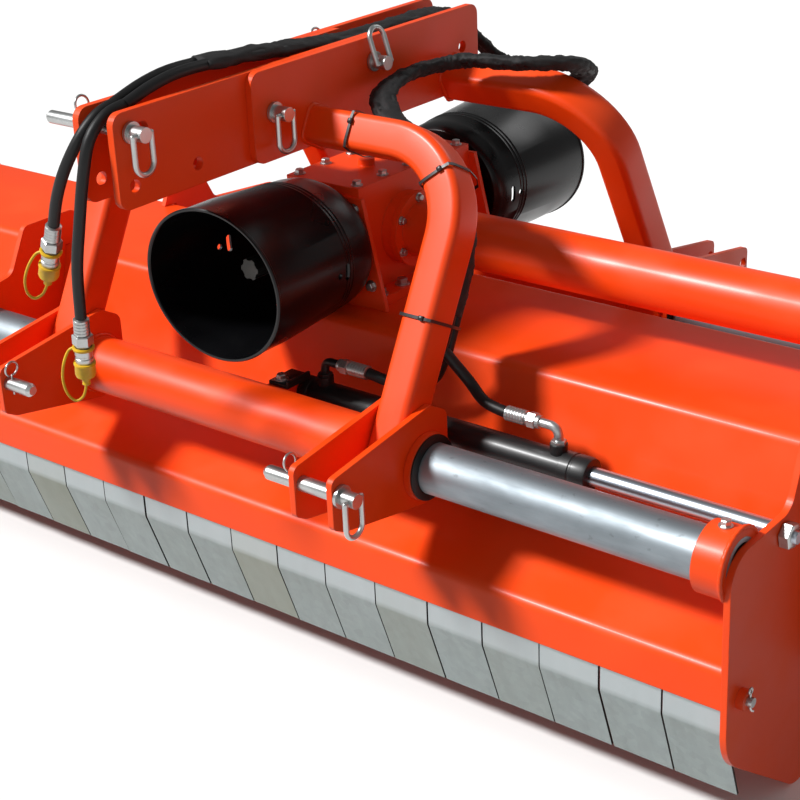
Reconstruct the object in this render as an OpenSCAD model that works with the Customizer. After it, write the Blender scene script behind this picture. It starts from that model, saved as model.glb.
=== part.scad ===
// Reversible side-shift flail mower: a deck on a rear roller, with a hitch frame that slides across it.
// Millimetres, +Z up. The origin is on the ground under the middle of the machine, +Y to the rear.

/* [Deck] */
// Clear width between the end plates
deck_w = 2000; // [1900:20:2100]
// From the middle of the hitch to the right end plate, at rest
right_reach = 886; // [870:1:900]
// Thickness of the end plates and tube supports
end_t = 10; // [8:1:14]
// Thickness of the hood sheet
hood_t = 5; // [3:0.5:7]
// Height of the flat top of the hood
hood_top = 550; // [530:1:560]
// From the front lower pins back to the front lip
lip_y = 166; // [155:1:172]
// Height of the lower edge of the front lip
lip_z = 234; // [225:1:245]
// Height of the front lip
lip_h = 61; // [50:1:70]

/* [Hitch] */
// Length of the hitch frame, from the front lower pins to their mirror place at the rear
hitch_l = 1084; // [1070:2:1100]
// From that mirror place back to the rear lower holes
rear_reach = 56; // [40:1:70]
// Rear lower holes below the front lower pins
rear_drop = 22; // [10:1:30]
// Height of the lower pins above the ground
pin_h = 480; // [470:1:490]
// From the middle of one lower clevis to the middle of the other
pin_span = 683; // [670:1:700]
// Gap between the two plates of a lower clevis
clevis_gap = 58; // [54:1:64]
// Thickness of the clevis plates
clevis_t = 10; // [8:1:14]
// Diameter of the lower pins
lower_pin_d = 22; // [18:0.5:26]
// Top link pin above the lower pins
mast_h = 457; // [450:1:462]
// Quick hitch holes above the lower pins
quick_h = 381; // [372:1:390]
// Diameter of the top pins
top_pin_d = 19; // [16:0.5:22]
// Thickness of the mast plates
mast_t = 12; // [8:1:14]
// Gap between the two plates of the top link bracket
mast_gap = 56; // [52:1:60]
// Free play of each pin in its holes, on the radius
pin_play = 0.3; // [0.2:0.1:0.5]

/* [Arches] */
// Width of the arch tube across the machine
arch_w = 56; // [46:1:57]
// Depth of the arch tube
arch_d = 62; // [50:1:70]
// Bend radius of the arch tube at its middle
arch_bend = 125; // [100:1:150]
// Lean of the arches from upright
arch_lean = 28; // [26:0.5:30]

/* [Side shift] */
// Diameter of the two shift tubes
shift_d = 76; // [70:1:80]
// From the lower pins back to the shift tube
shift_y = 187; // [182:1:195]
// Shift tube below the lower pins
shift_drop = 32; // [26:1:38]
// Wall of the sleeves that slide on the shift tubes
sleeve_wall = 8; // [6:0.5:10]
// Running clearance of the sleeves, on the radius
slide_gap = 0.08; // [0.04:0.01:0.1]
// Outer diameter of the hydraulic cylinder
barrel_d = 48; // [42:1:52]
// Length of the hydraulic cylinder
barrel_l = 530; // [515:1:545]
// Diameter of the cylinder rod
rod_d = 28; // [22:1:32]

/* [Drive] */
// Height of the power take-off shaft
pto_h = 652; // [646:1:660]
// Diameter of the power take-off shaft at its splines
spline_d = 34.9; // [33:0.1:36]
// Mouth height of the oval shaft guards
cone_d = 238; // [230:1:244]
// Mouth width of the shaft guards over their height
cone_oval = 1.14; // [1:0.01:1.2]
// Length of each shaft guard
cone_l = 243; // [230:1:250]
// Wall of the shaft guards
cone_t = 4; // [3:0.5:6]
// Outer diameter of the drive tube
drive_tube_d = 90; // [80:1:96]
// Working radius of the upper pulley
upper_pulley_r = 84; // [78:1:90]
// Working radius of the lower pulley
lower_pulley_r = 64; // [58:1:70]
// Width of the belts side by side
belt_w = 40; // [34:1:42]
// Thickness of the belts
belt_t = 8; // [6:0.5:10]

/* [Rotor and roller] */
// Height of the rotor
rotor_h = 245; // [240:1:252]
// Diameter of the rotor tube
rotor_d = 150; // [130:1:160]
// Reach of the flails from the rotor axis
flail_reach = 195; // [185:1:198]
// Number of flails
flail_count = 24; // [12:2:32]
// Diameter of the rear roller
roller_d = 130; // [120:1:140]

/* [Flaps] */
// Number of front flaps
flap_count = 20; // [18:1:20]
// Gap between neighbouring flaps
flap_gap = 3; // [1:0.5:6]
// Thickness of a flap
flap_t = 4; // [3:0.5:5]
// Height of the lower edge of the flaps
flap_foot = 72; // [60:1:90]
// Diameter of the rod that the flaps hang on
flap_rod_d = 14; // [12:0.5:16]

/* [Hoses] */
// Diameter of the hydraulic hoses
hose_d = 17; // [13:0.5:17]

/* [Hidden] */
$fn = 48;

MAIN = ["hood", "left_end_plate", "right_end_plate", "tube_support_plates", "shift_tubes", "flap_rod",
    "gearbox_case", "pto_cones", "drive_tube", "belt_cover", "drive_belts", "shaft_bearings",
    "roller_brackets", "cylinder_rod", "front_carriage", "rear_carriage", "front_arches", "rear_arches",
    "mast_plates", "top_link_bracket", "lower_pins", "top_pins", "cylinder_barrel", "hose_fittings",
    "hoses", "left_hose_tail", "right_hose_tail", "hose_couplers", "dust_caps", "rotor", "flails",
    "rotor_pulley", "drive_shaft", "input_shaft", "rear_roller", "lower_loop_left", "lower_loop_right",
    "top_loop_front", "top_loop_mid", "top_loop_rear"];
function flap_name(i) = str("flap_", i < 10 ? "0" : "", i);

paint = "orangered";
steel = "silver";
black = "#202020";

// Places across the machine, with X = 0 at the middle of the hitch
x_right = right_reach;
x_left = right_reach - deck_w;
x_support = -580;
play = 0.3;
seat = 0.2;
bearing_t = 16;
cover_depth = 90;
left_out = 46;
origin_x = (x_left - end_t - left_out + x_right + end_t + cover_depth) / 2;

// Places along the machine, with Y = 0 at the front lower pins
y_mid = hitch_l / 2;
bracket_front = -30;
nose = 16;
origin_y = (bracket_front + hitch_l + rear_reach + nose) / 2;

// Hood section
bend_y = 368;
base_y = 322;
base_z = 345;
rear_bend_y = 648;
rear_base_y = 694;
rear_lip_y = hitch_l - 226;
rear_lip_z = 255;
hood_line = [[lip_y, lip_z], [lip_y, lip_z + lip_h], [base_y, base_z], [bend_y, hood_top],
    [rear_bend_y, hood_top], [rear_base_y, base_z], [rear_lip_y, rear_lip_z + lip_h],
    [rear_lip_y, rear_lip_z]];

// End plate outline, the same at the front and the rear; the left one follows the hood at its rear
plate_front = lip_y - 22;
shift_z = pin_h - shift_drop;
end_half = [[365, 0, 60], [152, 165, 90], [plate_front, shift_z + 26, 46], [305, shift_z + 28, 30],
    [bend_y - 23, hood_top + 25, 20]];
end_line = concat(end_half, [for (i = [len(end_half) - 1:-1:0]) [hitch_l - end_half[i][0], end_half[i][1],
    end_half[i][2]]]);
left_line = concat(end_half, [[rear_bend_y + 12, hood_top + 25, 20], [rear_base_y + 14, base_z + 20, 20],
    [rear_lip_y + 22, rear_lip_z + lip_h + 20, 30]],
    [for (i = [1:-1:0]) [hitch_l - end_half[i][0], end_half[i][1], end_half[i][2]]]);

// Side shift
shift_r = shift_d / 2;
sleeve_r = shift_r + sleeve_wall;
collar_r = shift_r + 12;
collar_l = 45;
clevis_in = pin_span / 2 - clevis_gap / 2;
clevis_out = pin_span / 2 + clevis_gap / 2;
sleeve_end = clevis_out + clevis_t + 12;
ring_l = 11;
barrel_y = 285;
barrel_z = shift_z + 4;
barrel_x = 70;
barrel_r = barrel_d / 2;
barrel_wall = 5;
gland_l = 40;
piston_x = 330;
port_x = 42;
port_h = 12;
fit_l = 88;
fit_z = barrel_z + barrel_r + 37;
piston_l = 30;
lug_t = 12;
stud_r = 12;
rod_r = rod_d / 2;
rod_tip_r = 10;
rod_nut_r = 19;

// Hitch frame
lower_pin_r = lower_pin_d / 2;
top_pin_r = top_pin_d / 2;
mast_in = mast_gap / 2 + mast_t + play;
mast_out = mast_in + mast_t;
mast_low = pin_h + 350;
mast_high = pin_h + 487;
mast_front = 230;
mast_back = 786;
mast_round = 18;
bracket_back = 540;
mid_pin = [274, pin_h + 422];
rear_pin = [508, pin_h + 448];
top_pin = [0, pin_h + mast_h];
rear_hole = [742, mid_pin[1]];
quick_holes = [[0, pin_h + quick_h], [123, pin_h + quick_h]];
arch_y = 370;
arch_z = pin_h + 377;
arch_round = 12;
wire_r = 4;
loop_w = 34;
loop_l = 56;
head_r = 11;
head_l = 30;
head_hole = 8;
loop_rest = 18;

// Drive
drive_y = y_mid;
case_w = 75;
case_front = 112;
case_back = 180;
case_low = hood_top + 16;
case_high = pto_h + 92;
case_wall = 12;
case_plate = 8;
boss_r = 60;
boss_l = 20;
front_face = drive_y - case_front - boss_l;
rear_face = drive_y + case_back + boss_l;
run_gap = 0.06;
shaft_r = 20;
cross_r = 18;
crown_r = 54;
pinion_r = crown_r / 3;
mesh_gap = 0.5;
pto_stub = 83;
spline_l = 75;
tube_wall = 7;
flange_r = boss_r + 2;
flange_t = 11;
rim = 2;
pulley_w = belt_w + 2 * rim + 2;
pulley_x = x_right + end_t + bearing_t + 5;
belt_play = 0.4;
cover_t = 4;
cover_r = upper_pulley_r + belt_t + 15;

// Rotor and roller
rotor_y = 508;
rotor_r = rotor_d / 2;
rotor_wall = 8;
rotor_end = 12;
rotor_shaft_r = 25;
flail_pin_r = 8;
flail_pivot = rotor_r + 28;
flail_w = 70;
roller_r = roller_d / 2;
roller_y = y_mid + 342;
axle_r = 15;
bracket_t = 10;
roller_side = 14;

// Flaps
flap_pitch = deck_w / flap_count;
flap_rod_r = flap_rod_d / 2;
flap_eye_r = flap_rod_r + play + flap_t;
flap_y = lip_y + hood_t + flap_eye_r + 2;
flap_z = lip_z + 18;
flap_knee = lip_z - 44;
flap_rake = 40;

// Hose routes, chosen by hand: run = from the front of the mast to the front arch, tails = hanging free.
// They are drawn between route_low, the shift tubes, and route_high, the arches, and follow both.
// route_turn turns the two hoses about each other, in degrees at a step of the run.
hose_r = hose_d / 2;
hose_apart = hose_r + 2;
route_low = 448;
route_high = 857;
route_turn = [[0, 0], [8, 0], [15, 50], [20, 50], [26, -40]];
function risen(p) = [for (q = p)
    [q[0], q[1], shift_z + (q[2] - route_low) * (arch_z - shift_z) / (route_high - route_low)]];
run_route = risen([[0, 22, 966], [0, 83, 982], [0, 153, 988], [0, 287, 980], [0, 400, 968], [0, 505, 958],
    [0, 620, 956], [0, 725, 954], [2, 785, 938], [14, 825, 900], [44, 850, 862], [95, 856, 838],
    [160, 845, 832], [218, 824, 842], [266, 784, 877], [280, 722, 905], [242, 676, 910], [192, 658, 910],
    [140, 648, 909], [104, 622, 905], [88, 572, 902], [86, 520, 897], [102, 468, 885], [150, 434, 862],
    [220, 420, 838], [286, 400, 795], [331, 368, 738], [344, 338, 680], [346, 311, 630], [346, 288, 585]]);
base_route = risen([[322, 297, 534], [290, 298, 510], [246, 290, 506], [202, 285, 513]]);
rod_route = risen([[380, 298, 540], [414, 290, 518], [454, 285, 513]]);
left_route = risen([[-9, 22, 966], [-10, -12, 957], [-20, -38, 930], [-42, -52, 886], [-64, -54, 842],
    [-84, -50, 796]]);
right_route = risen([[9, 22, 966], [9, -14, 959], [6, -44, 932], [0, -58, 880], [-12, -64, 812],
    [-28, -64, 744], [-38, -60, 668]]);

// Points
function unit(v) = v / norm(v);
function turn(a) = (a + 540) % 360 - 180;
function arc_point(c, r, a) = c + r * [cos(a), sin(a)];
function corner(a, b, c, r) =
    let (n = r > 40 ? 16 : r > 20 ? 10 : 6, u = unit(a - b), v = unit(c - b), half = acos(u * v) / 2,
        mid = b + unit(u + v) * r / sin(half),
        t0 = b + u * r / tan(half) - mid, t1 = b + v * r / tan(half) - mid, a0 = atan2(t0[1], t0[0]),
        sweep = turn(atan2(t1[1], t1[0]) - a0))
    [for (i = [0:n]) arc_point(mid, r, a0 + sweep * i / n)];
function flat(p) = [p[0], p[1]];
function rounded(p) = [for (i = [0:len(p) - 1])
    let (a = p[(i + len(p) - 1) % len(p)], b = p[i], c = p[(i + 1) % len(p)])
    each (b[2] > 0 ? corner(flat(a), flat(b), flat(c), b[2]) : [flat(b)])];
function side(a, b) = let (d = unit(b - a)) [d[1], -d[0]];
function inset(p, i, t) =
    let (a = i > 0 ? side(p[i - 1], p[i]) : side(p[0], p[1]),
        b = i < len(p) - 1 ? side(p[i], p[i + 1]) : a)
    p[i] + (a + b) * t / (1 + a * b);
function strip(p, t) = concat(p, [for (i = [len(p) - 1:-1:0]) inset(p, i, t)]);
function spline(a, b, c, d, t) =
    (2 * b + (c - a) * t + (2 * a - 5 * b + 4 * c - d) * t * t + (3 * b - a - 3 * c + d) * t * t * t) / 2;
function smooth(p, n) = concat([for (i = [0:len(p) - 2], k = [0:n - 1])
    spline(p[max(i - 1, 0)], p[i], p[i + 1], p[min(i + 2, len(p) - 1)], k / n)], [p[len(p) - 1]]);
function heading(p, i) = unit(p[min(i + 1, len(p) - 1)] - p[max(i - 1, 0)]);
function frames(p, i, n) = i >= len(p) ? [] :
    let (t = heading(p, i), m = unit(n - (n * t) * t)) concat([m], frames(p, i + 1, m));
function beside(p, d) = let (m = frames(p, 0, [1, 0, 0])) [for (i = [0:len(p) - 1])
    let (a = lookup(i, route_turn)) p[i] + d * (cos(a) * m[i] + sin(a) * cross(heading(p, i), m[i]))];

// Basic solids
module rod_x(x0, x1, y, z, r) {
    translate([x0, y, z]) rotate([0, 90, 0]) cylinder(h = x1 - x0, r = r);
}
module rod_y(y0, y1, x, z, r) {
    translate([x, y0, z]) rotate([-90, 0, 0]) cylinder(h = y1 - y0, r = r);
}
module plate(x, t) {
    translate([x, 0, 0]) rotate([90, 0, 90]) linear_extrude(t) children();
}
module disc(c, r) {
    translate(c) circle(r = r);
}
module rear_end() {
    translate([0, hitch_l, 0]) mirror([0, 1, 0]) children();
}
module both_sides() {
    children();
    mirror([1, 0, 0]) children();
}
module placed() {
    translate([-origin_x, -origin_y, 0]) children();
}
module hose(route, r, n = 4) {
    sides = 8;
    p = smooth(route, n);
    m = frames(p, 0, [0.2, 0.9, 0.35]);
    rings = [for (i = [0:len(p) - 1], k = [0:sides - 1])
        let (b = cross(heading(p, i), m[i]), t = k * 360 / sides) p[i] + r * (cos(t) * m[i] + sin(t) * b)];
    walls = [for (i = [0:len(p) - 2], k = [0:sides - 1])
        let (a = i * sides + k, b = i * sides + (k + 1) % sides)
        each [[a, a + sides, b], [b, a + sides, b + sides]]];
    last = (len(p) - 1) * sides;
    caps = [for (k = [1:sides - 2]) each [[0, k, k + 1], [last, last + k + 1, last + k]]];
    polyhedron(rings, concat(walls, caps));
}

// Deck: hood, end plates and what they carry
module hood() {
    color(paint) plate(x_left, deck_w) polygon(strip(hood_line, hood_t));
}
module end_blank(line) {
    difference() {
        polygon(rounded(line));
        disc([rotor_y, rotor_h], rotor_shaft_r + 5);
        disc([flap_y, flap_z], flap_rod_r + seat);
    }
}
module left_end_plate() {
    color(paint) plate(x_left - end_t, end_t) end_blank(left_line);
}
module right_end_plate() {
    color(paint) {
        plate(x_right, end_t) difference() {
            end_blank(end_line);
            disc([barrel_y, barrel_z], rod_tip_r + seat);
        }
        drive_ear();
        shaft_boss();
        tube_collar();
        rear_end() tube_collar();
    }
}
module drive_ear() {
    ear = [[drive_y - 92, hood_top + 20, 0], [drive_y - 92, pto_h + 70, 50], [drive_y + 92, pto_h + 70, 50],
        [drive_y + 92, hood_top + 20, 0]];
    plate(x_right, end_t) difference() {
        polygon(rounded(ear));
        disc([drive_y, pto_h], cross_r + 4);
    }
}
module shaft_boss() {
    difference() {
        rod_x(x_right + end_t, x_right + end_t + 12, flap_y, flap_z, flap_rod_r + 8);
        rod_x(x_right, x_right + end_t + 20, flap_y, flap_z, flap_rod_r + seat);
    }
}
module tube_collar() {
    difference() {
        rod_x(x_right - collar_l, x_right, shift_y, shift_z, collar_r);
        rod_x(x_right - collar_l - 1, x_right, shift_y, shift_z, shift_r + seat);
    }
}
module support_plate() {
    foot = base_y + (bend_y - base_y) * (shift_z - 53 - base_z) / (hood_top - base_z);
    line = [[132, shift_z - 53, 30], [132, shift_z + 66, 40], [240, shift_z + 84, 25],
        [281, hood_top + 60, 15], [bend_y + 30, hood_top + 60, 20], [bend_y + 50, hood_top, 0],
        [bend_y, hood_top, 0], [foot, shift_z - 53, 0]];
    plate(x_support, end_t) difference() {
        polygon(rounded(line));
        disc([shift_y, shift_z], shift_r + seat);
    }
}
module rear_support() {
    foot = rear_bend_y + (rear_base_y - rear_bend_y) * (hood_top - shift_z + 53) / (hood_top - base_z);
    line = [[rear_bend_y - 30, hood_top, 0], [rear_bend_y, hood_top + 60, 30],
        [hitch_l - 371, hood_top + 60, 15], [hitch_l - 330, shift_z + 84, 25],
        [hitch_l - 132, shift_z + 66, 40], [hitch_l - 132, shift_z - 53, 30],
        [foot, shift_z - 53, 0], [rear_bend_y, hood_top, 0]];
    plate(x_support, end_t) difference() {
        polygon(rounded(line));
        disc([hitch_l - shift_y, shift_z], shift_r + seat);
    }
}
module tube_support_plates() {
    color(paint) {
        support_plate();
        rear_support();
    }
}
module shift_tube() {
    difference() {
        rod_x(x_support - 8, x_right, shift_y, shift_z, shift_r);
        rod_x(x_support - 9, x_right + 1, shift_y, shift_z, shift_r - tube_wall);
    }
}
module shift_tubes() {
    color(steel) {
        shift_tube();
        rear_end() shift_tube();
    }
}
module flap_rod() {
    color(steel) rod_x(x_left - end_t - 6, x_right + end_t + 20, flap_y, flap_z, flap_rod_r);
}
module flap(i) {
    x = x_right - i * flap_pitch + flap_gap / 2;
    front = flap_y - flap_eye_r;
    sheet = [[front, flap_z], [front, flap_knee], [front + flap_rake, flap_foot]];
    color(steel) plate(x, flap_pitch - flap_gap) difference() {
        union() {
            polygon(concat(sheet, [for (i = [2:-1:0]) sheet[i] + [flap_t, 0]]));
            disc([flap_y, flap_z], flap_eye_r);
        }
        disc([flap_y, flap_z], flap_rod_r + play);
    }
}
module roller_brackets() {
    top = rear_lip_z - 8;
    line = [[roller_y - 64, top, 15], [roller_y + 20, top, 15], [roller_y + 30, roller_r, 28],
        [roller_y - 28, roller_r - 34, 28]];
    color(paint) for (x = [x_left, x_right - bracket_t]) plate(x, bracket_t) difference() {
        polygon(rounded(line));
        disc([roller_y, roller_r], axle_r + run_gap);
    }
}
module rear_roller() {
    a = x_left + bracket_t + roller_side;
    b = x_right - bracket_t - roller_side;
    color(paint) difference() {
        union() {
            rod_x(a, b, roller_y, roller_r, roller_r);
            rod_x(x_left + 1, x_right - 1, roller_y, roller_r, axle_r);
        }
        difference() {
            rod_x(a + rotor_end, b - rotor_end, roller_y, roller_r, roller_r - rotor_wall);
            rod_x(a, b, roller_y, roller_r, axle_r);
        }
    }
}

// Side shift cylinder: the rod is bolted to the right end plate, the barrel to the front carriage
module cylinder_rod() {
    color(steel) {
        rod_x(piston_x + piston_l - 1, x_right, barrel_y, barrel_z, rod_r);
        rod_x(piston_x, piston_x + piston_l, barrel_y, barrel_z, barrel_r - barrel_wall - 0.1);
        rod_x(x_right - 1, x_right + end_t + 22, barrel_y, barrel_z, rod_tip_r);
        translate([x_right + end_t, barrel_y, barrel_z]) rotate([0, 90, 0])
            cylinder(h = 16, r = rod_nut_r, $fn = 6);
    }
}
module cylinder_barrel() {
    end = barrel_x + barrel_l;
    color(black) {
        difference() {
            rod_x(barrel_x, end, barrel_y, barrel_z, barrel_r);
            rod_x(barrel_x + 25, end - gland_l, barrel_y, barrel_z, barrel_r - barrel_wall);
            rod_x(end - gland_l - 1, end + 1, barrel_y, barrel_z, rod_r + 0.1);
        }
        rod_x(barrel_x - lug_t - 24, barrel_x + 1, barrel_y, barrel_z, stud_r);
        translate([barrel_x - lug_t - 18, barrel_y, barrel_z]) rotate([0, 90, 0])
            cylinder(h = 18, r = rod_nut_r, $fn = 6);
        for (x = [barrel_x + port_x, end - port_x - port_h])
            translate([x, barrel_y, barrel_z + barrel_r - 3])
            cylinder(h = port_h + 3, r = 13);
    }
}

// Hitch frame
module carriage_plates(reach, drop) {
    line = [[-nose - reach, pin_h - drop + 28, 12], [205, pin_h + 56, 6], [shift_y + 56, shift_z + 66, 20],
        [shift_y + 56, shift_z - 40, 20], [shift_y, shift_z - 62, 25], [6 - reach, pin_h - drop - 59, 15],
        [-nose - reach, pin_h - drop - 47, 10]];
    both_sides() for (x = [clevis_in - clevis_t, clevis_out]) plate(x, clevis_t) difference() {
        polygon(rounded(line));
        disc([-reach, pin_h - drop], lower_pin_r + pin_play);
    }
}
module carriage(reach, drop) {
    difference() {
        union() {
            carriage_plates(reach, drop);
            rod_x(-sleeve_end, sleeve_end, shift_y, shift_z, sleeve_r);
            both_sides() rod_x(sleeve_end - ring_l, sleeve_end, shift_y, shift_z, sleeve_r + 5);
            children();
        }
        rod_x(-sleeve_end - 1, sleeve_end + 1, shift_y, shift_z, shift_r + slide_gap);
    }
}
module cylinder_lug() {
    line = [[shift_y, shift_z + 42, 0], [barrel_y + 6, barrel_z + 30, 26], [barrel_y + 32, barrel_z, 26],
        [barrel_y + 6, barrel_z - 30, 26], [shift_y, shift_z - 42, 0]];
    plate(barrel_x - lug_t, lug_t) difference() {
        polygon(rounded(line));
        disc([barrel_y, barrel_z], stud_r + seat);
    }
}
module front_carriage() {
    color(paint) carriage(0, 0) cylinder_lug();
}
module rear_carriage() {
    color(paint) rear_end() carriage(rear_reach, rear_drop);
}
module arch_section() {
    w = arch_w / 2;
    d = arch_d / 2;
    r = arch_round;
    polygon(rounded([[-w, -d, r], [w, -d, r], [w, d, r], [-w, d, r]]));
}
module arch() {
    leg_x = pin_span / 2;
    leg_l = (arch_z - shift_z) / cos(arch_lean) - arch_bend;
    difference() {
        translate([0, arch_y, arch_z]) rotate([90 - arch_lean, 0, 0]) {
            translate([mast_out, 0, 0]) rotate([90, 0, 90])
                linear_extrude(leg_x - arch_bend - mast_out) arch_section();
            translate([leg_x - arch_bend, -arch_bend, 0]) rotate_extrude(angle = 90)
                translate([arch_bend, 0]) arch_section();
            translate([leg_x, -arch_bend, 0]) rotate([90, 0, 0]) linear_extrude(leg_l) arch_section();
        }
        rod_x(clevis_in - clevis_t, clevis_out + clevis_t, shift_y, shift_z, sleeve_r);
        plate(clevis_in, clevis_gap) polygon([[0, 0], [600, 0], [600, shift_z], [0, shift_z]]);
    }
}
module front_arches() {
    color(paint) both_sides() arch();
}
module rear_arches() {
    color(paint) rear_end() both_sides() arch();
}
module mast_plates() {
    r = mast_round;
    line = [[mast_front, mast_low, r], [mast_back, mast_low, r], [mast_back, mast_high, r],
        [mast_front, mast_high, r]];
    color(paint) both_sides() plate(mast_in, mast_t) difference() {
        polygon(rounded(line));
        for (c = [mid_pin, rear_pin, rear_hole]) disc(c, top_pin_r + pin_play);
    }
}
module top_link_bracket() {
    r = mast_round;
    slot = 24;
    line = [[bracket_front, mast_low, r], [bracket_back, mast_low, r], [bracket_back, mast_high, r],
        [bracket_front, mast_high, r]];
    color(paint) {
        both_sides() plate(mast_gap / 2, mast_t) difference() {
            polygon(rounded(line));
            for (c = concat([mid_pin, rear_pin, top_pin, top_pin + [slot, 0]], quick_holes))
                disc(c, top_pin_r + pin_play);
            translate(top_pin - [0, top_pin_r + pin_play]) square([slot, 2 * (top_pin_r + pin_play)]);
        }
        translate([-mast_gap / 2 - 1, 160, mast_low]) cube([mast_gap + 2, 90, 12]);
    }
}

// Pull pins, and the wire loops that swing on their heads
module pull_pin(tip, head, r) {
    difference() {
        union() {
            rod_x(tip, head, 0, 0, r);
            rod_x(head - 1, head + head_l, 0, 0, head_r);
            rod_x(head, head + 5, 0, 0, r + 6);
            translate([tip, 0, 0]) rotate([0, -90, 0]) cylinder(h = 6, r1 = r, r2 = r - 4);
        }
        rod_y(-head_r - 1, head_r + 1, head + head_l - head_hole, 0, wire_r + play);
    }
}
module wire_loop(head, lean = 0) {
    h = loop_w / 2;
    leg = loop_l - h;
    color(steel) translate([head + head_l - head_hole, 0, 0]) rotate([0, lean, 0]) {
        rod_y(-h, h, 0, 0, wire_r);
        for (y = [-h, h]) {
            translate([0, y, -leg]) cylinder(h = leg, r = wire_r);
            translate([0, y, 0]) sphere(r = wire_r);
        }
        translate([0, 0, -leg]) rotate([0, -90, 0]) rotate([0, 0, 90]) rotate_extrude(angle = 180)
            translate([h, 0]) circle(r = wire_r);
    }
}
lower_tip = clevis_in - clevis_t - 50;
lower_head = clevis_out + clevis_t + 1;
top_tip = -mast_out - 50;
front_tip = -mast_in - 78;
front_head = mast_in + 1;
top_head = mast_out + 1;
module at_lower() {
    translate([0, 0, pin_h]) children();
}
module at_top(c) {
    translate([0, c[0], c[1]]) children();
}
module lower_pins() {
    color(steel) both_sides() at_lower() pull_pin(lower_tip, lower_head, lower_pin_r);
}
module top_pins() {
    color(steel) {
        at_top(top_pin) pull_pin(front_tip, front_head, top_pin_r);
        for (c = [mid_pin, rear_pin]) at_top(c) pull_pin(top_tip, top_head, top_pin_r);
    }
}
module lower_loop_right() {
    at_lower() wire_loop(lower_head);
}
module lower_loop_left() {
    mirror([1, 0, 0]) at_lower() wire_loop(lower_head);
}
module top_loop_front() {
    at_top(top_pin) wire_loop(front_head);
}
module top_loop_mid() {
    at_top(mid_pin) wire_loop(top_head);
}
module top_loop_rear() {
    at_top(rear_pin) wire_loop(top_head, 180 - loop_rest);
}

// Drive: gearbox, shafts, guards, belts and rotor
module upright(y) {
    a = case_w + 11;
    b = case_w + 53;
    translate([0, y, 0]) rotate([90, 0, 0]) linear_extrude(case_plate)
        polygon([[-b, hood_top], [b, hood_top], [a, case_high - 14], [-a, case_high - 14]]);
}
module gearbox_case() {
    wall = case_wall;
    long = case_front + case_back;
    color(paint) difference() {
        union() {
            translate([-case_w, drive_y - case_front, hood_top])
                cube([2 * case_w, long, case_high - hood_top]);
            translate([-case_w - 35, drive_y - case_front, hood_top])
                cube([2 * case_w + 70, rear_bend_y - drive_y + case_front, case_low - hood_top]);
            for (y = [drive_y - case_front, drive_y + case_back + case_plate]) upright(y);
            rod_y(front_face, rear_face, 0, pto_h, boss_r);
            rod_x(0, case_w + boss_l, drive_y, pto_h, boss_r);
            rod_x(-case_w - 8, 0, drive_y, pto_h, boss_r + 8);
            translate([0, drive_y, case_high - 1]) cylinder(h = 12, r = 14);
        }
        translate([-case_w + wall, drive_y - case_front + wall, case_low])
            cube([2 * (case_w - wall), long - 2 * wall, case_high - case_low - wall]);
        rod_y(front_face - 1, rear_face + 1, 0, pto_h, shaft_r + run_gap);
        rod_x(0, case_w + boss_l + 1, drive_y, pto_h, cross_r + run_gap);
    }
}
module oval_shell(line) {
    n = len(line);
    sides = 64;
    points = [for (k = [0:sides - 1], q = line)
        [q[0] * cone_oval * cos(k * 360 / sides), -q[1], q[0] * sin(k * 360 / sides)]];
    faces = [for (k = [0:sides - 1], j = [0:n - 1])
        let (up = (j + 1) % n, next = ((k + 1) % sides) * n, a = k * n + j, b = k * n + up, c = next + j,
            d = next + up)
        each [[a, c, b], [c, d, b]]];
    polyhedron(points, faces);
}
module pto_cone(slot_y) {
    m = cone_d / 2;
    n = m - 10;
    t = cone_t;
    l = cone_l;
    difference() {
        oval_shell([[m - t, l], [m, l], [m, l - 70], [n, 30], [n - 8, 0], [boss_r - 14, 0],
            [boss_r - 14, t], [n - 8 - t, t], [n - t, 32], [m - t, l - 69]]);
        translate([-2 * m, -slot_y - 5, -19]) cube([4 * m, 10, 28]);
        rod_x(-2 * m, 2 * m, -slot_y - 20, -6, 5);
        translate([-m, bend_y - front_face - 20, -2 * m + hood_top - pto_h + 2])
            cube([2 * m, l, 2 * m]);
    }
}
module pto_cones() {
    color(black) {
        translate([0, front_face, pto_h]) pto_cone(76);
        translate([0, rear_face, pto_h]) mirror([0, 1, 0]) pto_cone(40);
    }
}
module input_shaft() {
    a = front_face - cone_l + pto_stub;
    b = rear_face + cone_l - pto_stub;
    g = drive_y + pinion_r + mesh_gap;
    color(steel) {
        rod_y(a + spline_l, b - spline_l, 0, pto_h, shaft_r);
        splined_end(a);
        translate([0, a + b, 0]) mirror([0, 1, 0]) splined_end(a);
        translate([0, g, pto_h]) rotate([-90, 0, 0]) cylinder(h = 16, r = crown_r);
        translate([0, g - 7, pto_h]) rotate([-90, 0, 0]) cylinder(h = 7, r1 = crown_r - 21, r2 = crown_r);
    }
}
module splined_end(y) {
    difference() {
        rod_y(y, y + spline_l + 1, 0, pto_h, spline_d / 2);
        for (k = [0:5]) translate([0, y - 1, pto_h]) rotate([0, k * 60, 0])
            translate([-4.5, 0, spline_d / 2 - 2.6]) cube([9, spline_l - 4, 10]);
    }
}
module drive_tube() {
    a = case_w + boss_l;
    color(paint) difference() {
        union() {
            rod_x(a, x_right, drive_y, pto_h, drive_tube_d / 2);
            rod_x(a, a + flange_t, drive_y, pto_h, flange_r);
            rod_x(x_right - flange_t, x_right, drive_y, pto_h, flange_r);
        }
        rod_x(a - 1, x_right + 1, drive_y, pto_h, drive_tube_d / 2 - tube_wall);
    }
}
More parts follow.
